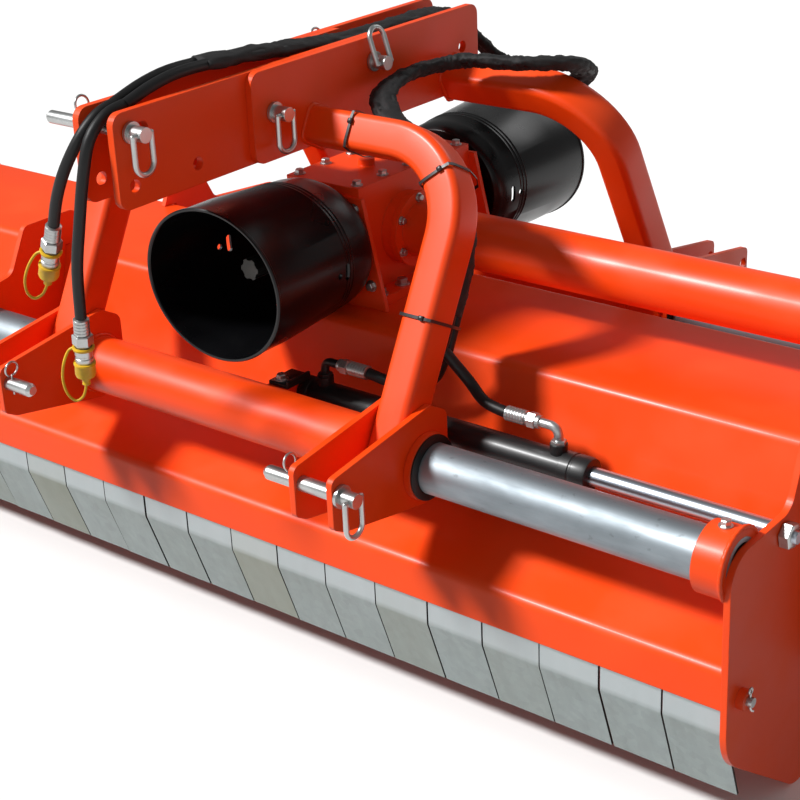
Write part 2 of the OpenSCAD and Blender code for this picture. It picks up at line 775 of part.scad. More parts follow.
module drive_shaft() {
    tip = crown_r - 20;
    color(steel) {
        rod_x(crown_r + 8, pulley_x + pulley_w + 8, drive_y, pto_h, cross_r);
        translate([tip, drive_y, pto_h]) rotate([0, 90, 0])
            cylinder(h = 20, r1 = pinion_r * tip / crown_r - mesh_gap, r2 = pinion_r - mesh_gap);
        rod_x(crown_r, crown_r + 9, drive_y, pto_h, pinion_r - mesh_gap);
        pulley(drive_y, pto_h, upper_pulley_r, cross_r - 1);
    }
}
module pulley(y, z, r, bore) {
    difference() {
        union() {
            rod_x(pulley_x, pulley_x + pulley_w, y, z, r);
            for (x = [pulley_x, pulley_x + pulley_w - rim]) rod_x(x, x + rim, y, z, r + belt_t);
        }
        rod_x(pulley_x - 1, pulley_x + pulley_w + 1, y, z, bore + 0.02);
        for (k = [0:4]) translate([0, y, z]) rotate([k * 72, 0, 0])
            rod_x(pulley_x - 1, pulley_x + pulley_w + 1, 0, (r + bore) / 2, (r - bore) / 4);
    }
}
module rotor_pulley() {
    color(black) pulley(rotor_y, rotor_h, lower_pulley_r, rotor_shaft_r);
}
module belt_line(grow) {
    hull() {
        disc([drive_y, pto_h], upper_pulley_r + grow);
        disc([rotor_y, rotor_h], lower_pulley_r + grow);
    }
}
module drive_belts() {
    color(black) plate(pulley_x + (pulley_w - belt_w) / 2, belt_w) difference() {
        belt_line(belt_play + belt_t - 1);
        belt_line(belt_play);
    }
}
module cover_line(grow) {
    hull() {
        disc([drive_y, pto_h], cover_r + grow);
        disc([rotor_y, rotor_h], cover_r - 6 + grow);
    }
}
module belt_cover() {
    x = x_right + end_t;
    color(paint) difference() {
        plate(x, cover_depth) cover_line(0);
        plate(x - 1, cover_depth - cover_t + 1) cover_line(-cover_t);
    }
}
module shaft_bearings() {
    color(paint) {
        bearing(x_left - end_t - bearing_t, rotor_y, rotor_h, rotor_shaft_r);
        bearing(x_right + end_t, rotor_y, rotor_h, rotor_shaft_r);
        bearing(x_right + end_t, drive_y, pto_h, cross_r);
        left_cap();
    }
}
module bearing(x, y, z, r) {
    line = [for (k = [0:3]) [y + (r + 53) * cos(45 + 90 * k), z + (r + 53) * sin(45 + 90 * k), 16]];
    plate(x, bearing_t) difference() {
        polygon(rounded(line));
        disc([y, z], r + run_gap);
    }
}
module left_cap() {
    a = x_left - end_t - left_out;
    difference() {
        rod_x(a, x_left - end_t - bearing_t, rotor_y, rotor_h, rotor_shaft_r + 12);
        rod_x(a + 5, x_left - end_t, rotor_y, rotor_h, rotor_shaft_r + 5);
    }
}
module rotor() {
    a = x_left + 8;
    b = x_right - 8;
    color(black) {
        difference() {
            union() {
                rod_x(a, b, rotor_y, rotor_h, rotor_r);
                rod_x(x_left - end_t - bearing_t - 12, pulley_x + pulley_w + 6, rotor_y, rotor_h,
                    rotor_shaft_r);
            }
            difference() {
                rod_x(a + rotor_end, b - rotor_end, rotor_y, rotor_h, rotor_r - rotor_wall);
                rod_x(a, b, rotor_y, rotor_h, rotor_shaft_r);
            }
        }
        for (i = [0:flail_count - 1]) at_flail(i) flail_lugs();
    }
}
module at_flail(i) {
    pitch = (deck_w - 160) / (flail_count - 1);
    translate([x_left + 80 + i * pitch, rotor_y, rotor_h])
        rotate([45 + i * 90 + (i % 2) * 40, 0, 0]) children();
}
module flail_lugs() {
    root = sqrt(rotor_r * rotor_r - 22 * 22) - 1;
    line = [[-22, root, 0], [22, root, 0], [14, flail_pivot + 14, 13], [-14, flail_pivot + 14, 13]];
    for (x = [-22, 14]) plate(x, 8) polygon(rounded(line));
    rod_x(-15, 15, 0, flail_pivot, flail_pin_r);
}
module flails() {
    color(steel) for (i = [0:flail_count - 1]) at_flail(i) flail();
}
module flail() {
    head = flail_reach - 26;
    difference() {
        union() {
            rod_x(-12, 12, 0, flail_pivot, 15);
            translate([-12, -9, flail_pivot]) cube([24, 18, head - flail_pivot + 1]);
            plate(-flail_w / 2, flail_w)
                polygon([[-16, head], [16, head], [20, flail_reach - 4], [-20, flail_reach - 4]]);
        }
        rod_x(-13, 13, 0, flail_pivot, flail_pin_r + play);
    }
}

// Hydraulic hoses
module hoses() {
    color(black) {
        hose(concat(beside(run_route, -hose_apart), base_route), hose_r, 2);
        hose(concat(beside(run_route, hose_apart), rod_route), hose_r, 2);
    }
}
module left_hose_tail() {
    color(black) hose(left_route, hose_r);
}
module right_hose_tail() {
    color(black) hose(right_route, hose_r);
}
function tail_end(p) = p[len(p) - 1];
function tail_way(p) = unit(tail_end(p) - p[len(p) - 2]);
module on_tail(p) {
    w = tail_way(p);
    translate(tail_end(p)) rotate([0, acos(w[2]), atan2(w[1], w[0])]) children();
}
module coupler() {
    cylinder(h = 26, r = hose_r + 3);
    translate([0, 0, 25]) cylinder(h = 18, r = hose_r + 6.5, $fn = 6);
    translate([0, 0, 42]) cylinder(h = 30, r = hose_r + 4.5);
}
module hose_couplers() {
    color(steel) {
        on_tail(left_route) coupler();
        on_tail(right_route) coupler();
    }
}
module dust_cap() {
    translate([0, 0, 72]) cylinder(h = 22, r = hose_r + 7);
    translate([0, 0, 93]) cylinder(h = 16, r = 6);
}
module dust_caps() {
    color("gold") {
        on_tail(left_route) dust_cap();
        on_tail(right_route) dust_cap();
    }
}
module hose_fittings() {
    color(steel) {
        fitting(barrel_x + port_x, 1);
        fitting(barrel_x + barrel_l - port_x - port_h, -1);
    }
}
module fitting(x, way) {
    low = barrel_z + barrel_r + port_h;
    translate([x, barrel_y, low]) {
        cylinder(h = fit_z - low, r = 8);
        cylinder(h = 9, r = 12, $fn = 6);
    }
    translate([x, barrel_y, fit_z]) {
        sphere(r = 8);
        rotate([0, way * 90, 0]) cylinder(h = fit_l, r = 8);
        rotate([0, way * 90, 0]) translate([0, 0, 24]) cylinder(h = 16, r = 12, $fn = 6);
        rotate([0, way * 90, 0]) translate([0, 0, fit_l - 34]) cylinder(h = 34, r = hose_r + 2);
    }
}

placed() hood();
placed() left_end_plate();
placed() right_end_plate();
placed() tube_support_plates();
placed() shift_tubes();
placed() flap_rod();
placed() gearbox_case();
placed() pto_cones();
placed() drive_tube();
placed() belt_cover();
placed() drive_belts();
placed() shaft_bearings();
placed() roller_brackets();
placed() cylinder_rod();
placed() front_carriage();
placed() rear_carriage();
placed() front_arches();
placed() rear_arches();
placed() mast_plates();
placed() top_link_bracket();
placed() lower_pins();
placed() top_pins();
placed() cylinder_barrel();
placed() hose_fittings();
placed() hoses();
placed() left_hose_tail();
placed() right_hose_tail();
placed() hose_couplers();
placed() dust_caps();
placed() rotor();
placed() flails();
placed() rotor_pulley();
placed() drive_shaft();
placed() input_shaft();
placed() rear_roller();
placed() lower_loop_left();
placed() lower_loop_right();
placed() top_loop_front();
placed() top_loop_mid();
placed() top_loop_rear();
for (i = [1:flap_count]) placed() flap(i);
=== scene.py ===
import math

import bmesh
import bpy
from mathutils import Matrix, Vector, noise


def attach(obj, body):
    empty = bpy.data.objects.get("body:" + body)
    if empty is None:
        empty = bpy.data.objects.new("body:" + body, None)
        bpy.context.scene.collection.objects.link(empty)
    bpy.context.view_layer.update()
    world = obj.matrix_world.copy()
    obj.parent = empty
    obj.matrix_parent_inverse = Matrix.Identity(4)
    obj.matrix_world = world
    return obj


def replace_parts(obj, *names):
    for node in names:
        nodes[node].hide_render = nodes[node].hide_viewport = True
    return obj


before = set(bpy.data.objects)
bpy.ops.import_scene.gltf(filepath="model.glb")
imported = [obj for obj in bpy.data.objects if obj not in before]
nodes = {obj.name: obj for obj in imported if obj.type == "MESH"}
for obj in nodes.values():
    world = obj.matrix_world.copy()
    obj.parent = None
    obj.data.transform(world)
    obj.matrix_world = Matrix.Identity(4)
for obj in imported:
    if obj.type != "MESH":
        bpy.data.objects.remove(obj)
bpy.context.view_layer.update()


# Camera
# The photo's own view: from the front right, a little above, with a slight tilt of the picture.
# Places in this script are millimetres from the hitch's middle, its front pins and the ground.
hitch_middle_x = 92
front_pins_y = -563


def at(x, y, z):
    return Vector(((x + hitch_middle_x) / 1000, (y + front_pins_y) / 1000, z / 1000))


view_turn = math.radians(39.29)
view_height = math.radians(24.58)
view_tilt = math.radians(-2.49)
flat_right = Vector((math.cos(view_turn), math.sin(view_turn), 0))
view_back = Vector((
    math.sin(view_turn) * math.cos(view_height),
    -math.cos(view_turn) * math.cos(view_height),
    math.sin(view_height),
))
flat_up = view_back.cross(flat_right)
view_right = math.cos(view_tilt) * flat_right + math.sin(view_tilt) * flat_up
view_up = math.cos(view_tilt) * flat_up - math.sin(view_tilt) * flat_right
camera_data = bpy.data.cameras.new("camera")
camera_data.sensor_width = 36
camera_data.lens = 77.98
camera = bpy.data.objects.new("camera", camera_data)
camera_place = (1.85775, -2.11874, 1.5709)
camera_axes = Matrix((view_right, view_up, view_back)).transposed()
camera.matrix_world = Matrix.Translation(camera_place) @ camera_axes.to_4x4()
bpy.context.scene.collection.objects.link(camera)
bpy.context.scene.camera = camera


# Rubber hose finish
# Smooth black hydraulic hose cover, faintly mottled, with a little dust in its skin.
# Number takes arithmetic on a shader's sockets, and Finish.node makes any other node.
class Number:
    def __init__(self, tree, socket):
        self.tree = tree
        self.socket = socket

    def math(self, operation, first, second):
        made = self.tree.nodes.new("ShaderNodeMath")
        made.operation = operation
        for place, value in enumerate((first, second)):
            if isinstance(value, Number):
                self.tree.links.new(value.socket, made.inputs[place])
            else:
                made.inputs[place].default_value = value
        return Number(self.tree, made.outputs[0])

    def __add__(self, other):
        return self.math("ADD", self, other)

    def __radd__(self, other):
        return self.math("ADD", other, self)

    def __sub__(self, other):
        return self.math("SUBTRACT", self, other)

    def __rsub__(self, other):
        return self.math("SUBTRACT", other, self)

    def __mul__(self, other):
        return self.math("MULTIPLY", self, other)

    def __rmul__(self, other):
        return self.math("MULTIPLY", other, self)

    def clip(self):
        return self.math("MINIMUM", self.math("MAXIMUM", self, 0.0), 1.0)


class Finish:
    def __init__(self, name, **plain):
        self.material = bpy.data.materials.new(name)
        self.material.use_nodes = True
        self.tree = self.material.node_tree
        self.shader = self.tree.nodes["Principled BSDF"]
        self.place = self.node("ShaderNodeTexCoord", out="Object")
        for socket, value in plain.items():
            self.shader.inputs[socket.replace("_", " ")].default_value = value

    def node(self, kind, settings=None, sockets=None, out=0):
        made = self.tree.nodes.new(kind)
        for key, value in (settings or {}).items():
            setattr(made, key, value)
        for key, value in (sockets or {}).items():
            if isinstance(value, Number):
                self.tree.links.new(value.socket, made.inputs[key])
            else:
                made.inputs[key].default_value = value
        return Number(self.tree, made.outputs[out])

    def mottle(self, scale, detail=3.0, stretch=(1, 1, 1)):
        spread = self.node(
            "ShaderNodeMapping", {}, {"Vector": self.place, "Scale": stretch}
        )
        return self.node(
            "ShaderNodeTexNoise", {}, {"Vector": spread, "Scale": scale, "Detail": detail}
        )

    def blend(self, share, first, second):
        colours = [c if isinstance(c, Number) else colour(*c) for c in (first, second)]
        return self.node(
            "ShaderNodeMix", {"data_type": "RGBA"}, {0: share, 6: colours[0], 7: colours[1]}, 2
        )

    def soft(self, width):
        return self.node("ShaderNodeBevel", {"samples": 4}, {"Radius": width})

    def rough(self, height, strength, depth, base=None):
        sockets = {"Height": height, "Strength": strength, "Distance": depth}
        if base is not None:
            sockets["Normal"] = base
        return self.node("ShaderNodeBump", {}, sockets)

    def use(self, **links):
        for socket, value in links.items():
            self.tree.links.new(value.socket, self.shader.inputs[socket.replace("_", " ")])
        return self.material


def colour(red, green, blue):
    """A screen colour of 0 to 255 as linear light."""
    def linear(part):
        part = part / 255
        return part / 12.92 if part <= 0.04045 else ((part + 0.055) / 1.055) ** 2.4

    return (linear(red), linear(green), linear(blue), 1.0)


rubber = Finish("rubber", Specular_IOR_Level=0.35)
rubber_dust = rubber.mottle(22.0)
rubber_grain = rubber.mottle(900.0, 2.0)
rubber_look = rubber.use(
    Base_Color=rubber.blend(rubber_dust, (6, 6, 7), (18, 18, 19)),
    Roughness=0.38 + 0.25 * rubber_dust,
    Normal=rubber.rough(rubber_grain, 0.15, 0.0008),
)


def dress(look, *names):
    """Gives solids of the frame their finish."""
    for name in names:
        nodes[name].data.materials.clear()
        nodes[name].data.materials.append(look)


dress(rubber_look, "hoses", "left_hose_tail", "right_hose_tail")


# Free hose tails
# Two short rubber hoses hang from the front of the mast, each with a coupler at its end.
# Both are seen end to end in the photo: their lengths are measured from it.
def smooth(points, steps):
    """A smooth line through points, with some steps from each point to the next."""
    points = [Vector(p) for p in points]
    line = []
    for k in range(len(points) - 1):
        before = points[max(k - 1, 0)]
        here, there = points[k], points[k + 1]
        after = points[min(k + 2, len(points) - 1)]
        for step in range(steps):
            t = step / steps
            line.append(0.5 * (
                2 * here + (there - before) * t
                + (2 * before - 5 * here + 4 * there - after) * t * t
                + (3 * here - before - 3 * there + after) * t * t * t
            ))
    line.append(points[-1])
    return line


def carried(path, first=None, closed=False):
    """A square frame carried along a path without twist: ways, sides and ups."""
    count = len(path)
    ways = []
    for k in range(count):
        ahead = path[(k + 1) % count] if closed else path[min(k + 1, count - 1)]
        behind = path[k - 1] if closed else path[max(k - 1, 0)]
        ways.append((ahead - behind).normalized())
    side = Vector(first) if first else ways[0].orthogonal()
    sides = []
    for way in ways:
        side = (side - way * side.dot(way)).normalized()
        sides.append(side.copy())
    return ways, sides, [way.cross(side) for way, side in zip(ways, sides)]


class Shape:
    """Points and faces gathered from several simple forms, made into one piece at the end."""

    def __init__(self):
        self.points = []
        self.faces = []

    def rings(self, rings, closed=False, caps=True):
        """A skin over rings of points; closed joins the last ring to the first."""
        count = len(rings[0])
        start = len(self.points)
        for ring in rings:
            self.points.extend(ring)
        rows = len(rings)
        for k in range(rows if closed else rows - 1):
            low = start + k * count
            high = start + (k + 1) % rows * count
            for i in range(count):
                j = (i + 1) % count
                self.faces.append((low + i, low + j, high + j, high + i))
        if caps and not closed:
            self.faces.append(tuple(range(start, start + count))[::-1])
            self.faces.append(tuple(range(start + (rows - 1) * count, start + rows * count)))
        return self

    def sweep(self, path, section, closed=False):
        """Carries a section, a list of points or a function of the step, along a path."""
        ways, sides, ups = carried(path, None, closed)
        rings = []
        for k, point in enumerate(path):
            line = section(k) if callable(section) else section
            rings.append([point + sides[k] * u + ups[k] * v for u, v in line])
        return self.rings(rings, closed)

    def tube(self, path, radius, sides, closed=False):
        turns = [2 * math.pi * i / sides for i in range(sides)]
        circle = [(radius * math.cos(t), radius * math.sin(t)) for t in turns]
        return self.sweep(path, circle, closed)

    def turned(self, line, start, way, sides=40, oval=1.0, side=None, flats=None):
        """A turned form: a line of (radius, height) about an axis; flats makes some rows hexagonal."""
        way = Vector(way).normalized()
        side = Vector(side).normalized() if side else way.orthogonal().normalized()
        up = way.cross(side)
        rings = []
        for k, (radius, height) in enumerate(line):
            middle = start + way * height
            ring = []
            for i in range(sides):
                t = 2 * math.pi * i / sides
                reach = radius
                if flats and k in flats:
                    from_flat = t % (math.pi / 3) - math.pi / 6
                    reach = radius * math.cos(math.pi / 6) / math.cos(from_flat)
                across = side * (reach * oval * math.cos(t))
                ring.append(middle + across + up * (reach * math.sin(t)))
            rings.append(ring)
        closed = line[0] == line[-1]
        return self.rings(rings[:-1] if closed else rings, closed)

    def block(self, centre, sizes, across=(1, 0, 0), up=(0, 0, 1), trim=0.15):
        """A small block with cut edges."""
        across = Vector(across).normalized()
        up = Vector(up).normalized()
        deep = up.cross(across)
        a, b, c = (s / 2 for s in sizes)
        cut = trim * min(sizes)

        def ring(height, inset):
            w, d = a - inset, b - inset
            corners = [
                (w, -d + cut), (w, d - cut), (w - cut, d), (-w + cut, d),
                (-w, d - cut), (-w, -d + cut), (-w + cut, -d), (w - cut, -d),
            ]
            return [centre + across * u + deep * v + up * height for u, v in corners]

        return self.rings([ring(-c, cut), ring(-c + cut, 0), ring(c - cut, 0), ring(c, cut)])

    def piece(self, name, look, body, slot, sharp=38):
        """Makes the piece; folds above the sharp angle, in degrees, stay sharp."""
        mesh = bpy.data.meshes.new(name)
        mesh.from_pydata([tuple(p) for p in self.points], [], self.faces)
        tidy = bmesh.new()
        tidy.from_mesh(mesh)
        bmesh.ops.remove_doubles(tidy, verts=tidy.verts, dist=1e-6)
        bmesh.ops.recalc_face_normals(tidy, faces=tidy.faces)
        tidy.to_mesh(mesh)
        tidy.free()
        mesh.shade_smooth()
        mesh.set_sharp_from_angle(angle=math.radians(sharp))
        mesh.materials.append(look)
        made = bpy.data.objects.new(name, mesh)
        bpy.context.scene.collection.objects.link(made)
        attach(made, body)
        return made


hose_radius = 0.0085
left_route = [
    (-9, 22, 966), (-10, -12, 957), (-20, -38, 930),
    (-42, -52, 886), (-64, -54, 842), (-84, -50, 796),
]
right_route = [
    (9, 22, 966), (9, -14, 959), (6, -44, 932), (0, -58, 880),
    (-12, -64, 812), (-28, -64, 744), (-38, -60, 668),
]
left_line = smooth([at(*p) for p in left_route], 4)
right_line = smooth([at(*p) for p in right_route], 4)
left_tail = Shape().tube(left_line, hose_radius, 20)
left_tail = left_tail.piece("hose_tail_left", rubber_look, "hitch", "rubber")
right_tail = Shape().tube(right_line, hose_radius, 20)
right_tail = right_tail.piece("hose_tail_right", rubber_look, "hitch", "rubber")
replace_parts(left_tail, "left_hose_tail")
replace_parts(right_tail, "right_hose_tail")


# Hose couplers and dust caps
# Zinc plated crimped ferrule, hexagon and coupler body, then a moulded yellow dust cap with its strap.
# Turned steel pieces and soft plastic caps, pushed on by hand.
zinc = Finish("zinc", Metallic=0.92)
zinc_cloud = zinc.mottle(16.0, 5.0)
zinc_fine = zinc.mottle(260.0, 2.0)
zinc_soft = zinc.soft(0.0009)
zinc_look = zinc.use(
    Base_Color=zinc.blend(
        0.55 * zinc_cloud + 0.2 * zinc_fine, (150, 152, 150), (226, 228, 228)
    ),
    Roughness=0.2 + 0.28 * zinc_cloud,
    Normal=zinc.rough(zinc_fine, 0.1, 0.0005, zinc_soft),
)
yellow = Finish("yellow plastic")
yellow_dirt = yellow.mottle(45.0, 4.0)
yellow_look = yellow.use(
    Base_Color=yellow.blend(
        (yellow_dirt * 2.2 - 0.75).clip(), (236, 190, 28), (196, 150, 30)
    ),
    Roughness=0.36 + 0.2 * yellow_dirt,
    Normal=yellow.rough(yellow.mottle(500.0), 0.08, 0.0006),
)
dress(zinc_look, "hose_couplers")
dress(yellow_look, "dust_caps")
all_flat = (0, 1, 2, 3)
crimp_line = [(0.0087, -0.001)]
for k in range(5):
    groove = 0.005 * k
    crimp_line += [(0.0118, 0.001 + groove), (0.0118, 0.0035 + groove), (0.0109, 0.0045 + groove)]
crimp_line.append((0.009, 0.0262))
hexagon_line = [(0.0135, 0.025), (0.0155, 0.0265), (0.0155, 0.0405), (0.0135, 0.042)]
coupler_line = [
    (0.0115, 0.042), (0.0115, 0.046), (0.0132, 0.047), (0.0132, 0.058), (0.0122, 0.059),
    (0.0122, 0.062), (0.0132, 0.063), (0.0132, 0.070), (0.012, 0.072),
]
cap_ring_line = [
    (0.0128, 0.0445), (0.0156, 0.0445), (0.0164, 0.0462),
    (0.0156, 0.0492), (0.0128, 0.0492), (0.0128, 0.0445),
]
cap_line = [
    (0.0136, 0.0705), (0.0158, 0.0710), (0.0162, 0.0735), (0.0152, 0.0750), (0.0152, 0.0900),
    (0.0140, 0.0935), (0.0075, 0.0945), (0.0062, 0.0970), (0.0056, 0.1050), (0.0062, 0.1075),
    (0.0045, 0.1092),
]
strap_line = [
    (0.047, 0.0150), (0.053, 0.023), (0.074, 0.031), (0.100, 0.034), (0.124, 0.029),
    (0.136, 0.018), (0.130, 0.007), (0.117, 0.002), (0.104, 0),
]
strap_hang = Vector((-0.78, -0.62, 0))
coupler_pieces = {}
for name, line in (("left", left_line), ("right", right_line)):
    couplers = Shape()
    caps = Shape()
    end = line[-1]
    way = (line[-1] - line[-2]).normalized()
    couplers.turned(crimp_line, end, way)
    couplers.turned(hexagon_line, end, way, 42, flats=all_flat)
    couplers.turned(coupler_line, end, way)
    caps.turned(cap_ring_line, end, way)
    caps.turned(cap_line, end, way)
    strap = [end + way * along + strap_hang * out for along, out in strap_line]
    caps.tube(smooth(strap, 6), 0.0021, 10)
    coupler_pieces[name] = (
        couplers.piece("coupler_" + name, zinc_look, "hitch", "zinc"),
        caps.piece("dust_cap_" + name, yellow_look, "hitch", "yellow_plastic"),
    )
    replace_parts(coupler_pieces[name][0], "hose_couplers")
    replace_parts(coupler_pieces[name][1], "dust_caps")


# Held hoses with their fabric sleeve
# The same two hoses go on along the mast, round behind it and down an arch to the cylinder.
# A wrinkled woven sleeve covers both along the mast and the arch, tied on with plastic ties.
hose_run = [
    (0, 22, 966), (0, 83, 982), (0, 153, 988), (0, 287, 980), (0, 400, 968), (0, 505, 958),
    (0, 620, 956), (0, 725, 954), (2, 785, 938), (14, 825, 900), (44, 850, 862), (95, 856, 838),
    (160, 845, 832), (218, 824, 842), (266, 784, 877), (280, 722, 905), (242, 676, 910),
    (192, 658, 910), (140, 648, 909), (104, 622, 905), (88, 572, 902), (86, 520, 897),
    (102, 468, 885), (150, 434, 862), (220, 420, 838), (286, 400, 795), (331, 368, 738),
    (344, 338, 680), (346, 311, 630), (346, 288, 585),
]
run_steps = 4
run_line = smooth([at(*p) for p in hose_run], run_steps)
run_ways, run_sides, run_ups = carried(run_line, (1, 0, 0))
# The pair of hoses turns about its route: pairs of a route point's number and degrees.
run_turns = ((0, 0), (8, 0), (15, 50), (20, 50), (26, -40), (30, -40))
for k, side in enumerate(run_sides):
    place = k / run_steps
    turn = next(
        a + (b - a) * (place - start) / (stop - start)
        for (start, a), (stop, b) in zip(run_turns, run_turns[1:]) if place <= stop
    )
    turn = math.radians(turn)
    run_sides[k] = math.cos(turn) * side + math.sin(turn) * run_ups[k]
    run_ups[k] = run_ways[k].cross(run_sides[k])
base_end = [at(322, 297, 534), at(290, 298, 510), at(246, 290, 506), at(200, 285, 513)]
rod_end = [at(380, 298, 540), at(414, 290, 518), at(456, 285, 513)]
hose_apart = 0.0105
base_line = [p - s * hose_apart for p, s in zip(run_line, run_sides)]
rod_line = [p + s * hose_apart for p, s in zip(run_line, run_sides)]
held = Shape()
held.tube(base_line[:-1] + smooth([base_line[-1]] + base_end, 6), hose_radius, 16)
held.tube(rod_line[:-1] + smooth([rod_line[-1]] + rod_end, 6), hose_radius, 16)
held_piece = held.piece("held_hoses", rubber_look, "hitch", "rubber")
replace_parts(held_piece, "hoses")
fabric = Finish("woven sleeve")
fabric_weave = fabric.mottle(700.0, 2.0, (1, 1, 0.4))
fabric_fade = fabric.mottle(14.0)
fabric_look = fabric.use(
    Base_Color=fabric.blend(fabric_fade, (5, 5, 6), (20, 19, 20)),
    Roughness=0.62 + 0.25 * fabric_fade,
    Normal=fabric.rough(fabric_weave, 0.5, 0.0012),
)
sleeve_half_width = 0.0195
sleeve_half_height = 0.0096
sleeve_rings = []
sleeve_run = zip(*(smooth(line[9:-4], 4) for line in (run_line, run_sides, run_ups)))
for step, (middle, side, up) in enumerate(sleeve_run):
    ring = []
    for i in range(32):
        t = 2 * math.pi * i / 32
        round_place = Vector((0, math.cos(t), math.sin(t)))
        fold = noise.noise(Vector((step * 0.21, 0, 0)) + 1.9 * round_place)
        crease = 1 - abs(noise.noise(Vector((step * 0.34 + 50, 0, 0)) + 1.1 * round_place))
        swell = 0.0012 + 0.0022 * fold + 0.0030 * (crease ** 3 - 0.5)
        across = side * ((sleeve_half_width + swell) * math.cos(t))
        ring.append(middle + across + up * ((sleeve_half_height + swell) * math.sin(t)))
    sleeve_rings.append(ring)
Shape().rings(sleeve_rings).piece("fabric_sleeve", fabric_look, "hitch", "rubber", 180)


# Painted steel finish
# Glossy orange red powder coat with a faint orange peel, thin dust and slightly worn edges.
# Used on every welded sheet, plate and tube of the deck and of the hitch.
paint = Finish("orange paint", Specular_IOR_Level=0.35, Coat_Weight=0.08, Coat_Roughness=0.2)
paint_tone = paint.mottle(2.3, 4.0)
paint_dust = (paint.mottle(9.0, 8.0) * 2.4 - 1.0).clip()
paint_peel = paint.mottle(420.0, 2.0)
paint_soft = paint.soft(0.0022)
paint_flat = paint.node("ShaderNodeNewGeometry", {}, {}, "True Normal")
paint_facing = paint.node(
    "ShaderNodeVectorMath", {"operation": "DOT_PRODUCT"}, {0: paint_soft, 1: paint_flat}, 1
)
paint_wear = ((1.0 - paint_facing) * 5.0 * (paint.mottle(60.0, 5.0) * 3.0 - 1.4)).clip()
paint_colour = paint.blend(paint_tone, (236, 62, 3), (250, 77, 6))
paint_colour = paint.blend(0.1 * paint_dust, paint_colour, (238, 128, 84))
paint_colour = paint.blend(0.35 * paint_wear, paint_colour, (120, 44, 24))
paint_look = paint.use(
    Base_Color=paint_colour,
    Roughness=0.36 + 0.1 * paint_tone + 0.2 * paint_dust,
    Normal=paint.rough(paint_peel, 0.07, 0.0008, paint_soft),
)
dress(
    paint_look, "hood", "left_end_plate", "right_end_plate", "tube_support_plates",
    "front_carriage", "rear_carriage", "front_arches", "rear_arches", "mast_plates",
    "top_link_bracket", "drive_tube", "belt_cover", "roller_brackets",
)


# Hood
# One folded steel sheet over the rotor: a front lip, two sloping sides, a flat top and a rear skirt.
# Press braked, so every fold has a radius; welded between the two end plates.
def filleted(corners, radius, steps=6):
    """A line with a round at each inner corner."""
    line = [Vector(corners[0])]
    for before, here, after in zip(corners, corners[1:], corners[2:]):
        here = Vector(here)
        back = (Vector(before) - here).normalized()
        ahead = (Vector(after) - here).normalized()
        half = back.angle(ahead) / 2
        centre = here + (back + ahead).normalized() * (radius / math.sin(half))
        start = here + back * (radius / math.tan(half)) - centre
        stop = here + ahead * (radius / math.tan(half)) - centre
        for k in range(steps + 1):
            share = k / steps
            line.append(centre + start.lerp(stop, share).normalized() * radius)
    line.append(Vector(corners[-1]))
    return line


hood_line = [
    (166, 234), (166, 295), (322, 345), (368, 550), (648, 550), (694, 345), (858, 316), (858, 255)
]
hood_sheet = 5
outer = filleted(hood_line, 16)
inner = []
for k, point in enumerate(outer):
    along = (outer[min(k + 1, len(outer) - 1)] - outer[max(k - 1, 0)]).normalized()
    inner.append(point + Vector((along.y, -along.x)) * hood_sheet)
hood_section = outer + inner[::-1]
hood_left = -1114
hood_right = 886
hood_rings = [[at(x, p.x, p.y) for p in hood_section] for x in (hood_left, hood_right)]
hood = Shape().rings(hood_rings, caps=False)
hood = hood.piece("folded_hood", paint_look, "deck", "orange_paint", 25)
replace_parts(hood, "hood")


# Hitch arches
# Four bent rectangular tubes with rounded corners, two leaning frames of two, front and rear.
# Cold bent, then welded to the mast plates and to the carriage sleeves.
hitch_length = 1084
lean = math.radians(28)
arch_top_y = 370
arch_top_z = 857
arch_bend = 125
arch_reach = 341.5
arch_level = arch_reach - arch_bend
arch_start = 52.3
arch_leg = 335


def arch_place(side, mirror, x, drop, lift=0.0):
    """A point of an arch: across, down along its leaning plane, and out of that plane."""
    y = arch_top_y - drop * math.sin(lean) - lift * math.cos(lean)
    z = arch_top_z - drop * math.cos(lean) + lift * math.sin(lean)
    return at(side * x, hitch_length - y if mirror else y, z)


def arch_line():
    line = [(arch_start + (arch_level - arch_start) * k / 6, 0.0) for k in range(7)]
    for k in range(1, 17):
        turn = math.pi / 2 * k / 16
        line.append((arch_level + arch_bend * math.sin(turn), arch_bend - arch_bend * math.cos(turn)))
    return line + [(arch_reach, arch_bend + arch_leg * k / 8) for k in range(1, 9)]


def rounded(width, height, radius, steps=6):
    """The section of a rectangular tube with round corners."""
    line = []
    for cx, cy, start in ((1, 1, 0), (-1, 1, 90), (-1, -1, 180), (1, -1, 270)):
        for k in range(steps + 1):
            t = math.radians(start + 90 * k / steps)
            u = cx * (width / 2 - radius) + radius * math.cos(t)
            v = cy * (height / 2 - radius) + radius * math.sin(t)
            line.append((u, v))
    return line


def arch_rings(side, mirror, section, path):
    rings = []
    for k, (x, drop) in enumerate(path):
        ahead = Vector(path[min(k + 1, len(path) - 1)])
        way = (ahead - Vector(path[max(k - 1, 0)])).normalized()
        ring = []
        for u, v in section:
            ring.append(arch_place(side, mirror, x + way.y * u, drop - way.x * u, v))
        rings.append(ring)
    return rings


arch_foot_z = 0.449
for mirror, name in ((False, "front_arches"), (True, "rear_arches")):
    arches = Shape()
    for side in (-1, 1):
        rings = arch_rings(side, mirror, rounded(56, 62, 12), arch_line())
        foot = rings[-1]
        before = rings[-2]
        for k, point in enumerate(foot):
            slope = (point - before[k]).normalized()
            foot[k] = before[k] + slope * ((before[k].z - arch_foot_z) / -slope.z)
        arches.rings(rings)
    arches = arches.piece("smooth_" + name, paint_look, "hitch", "orange_paint", 30)
    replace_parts(arches, name)


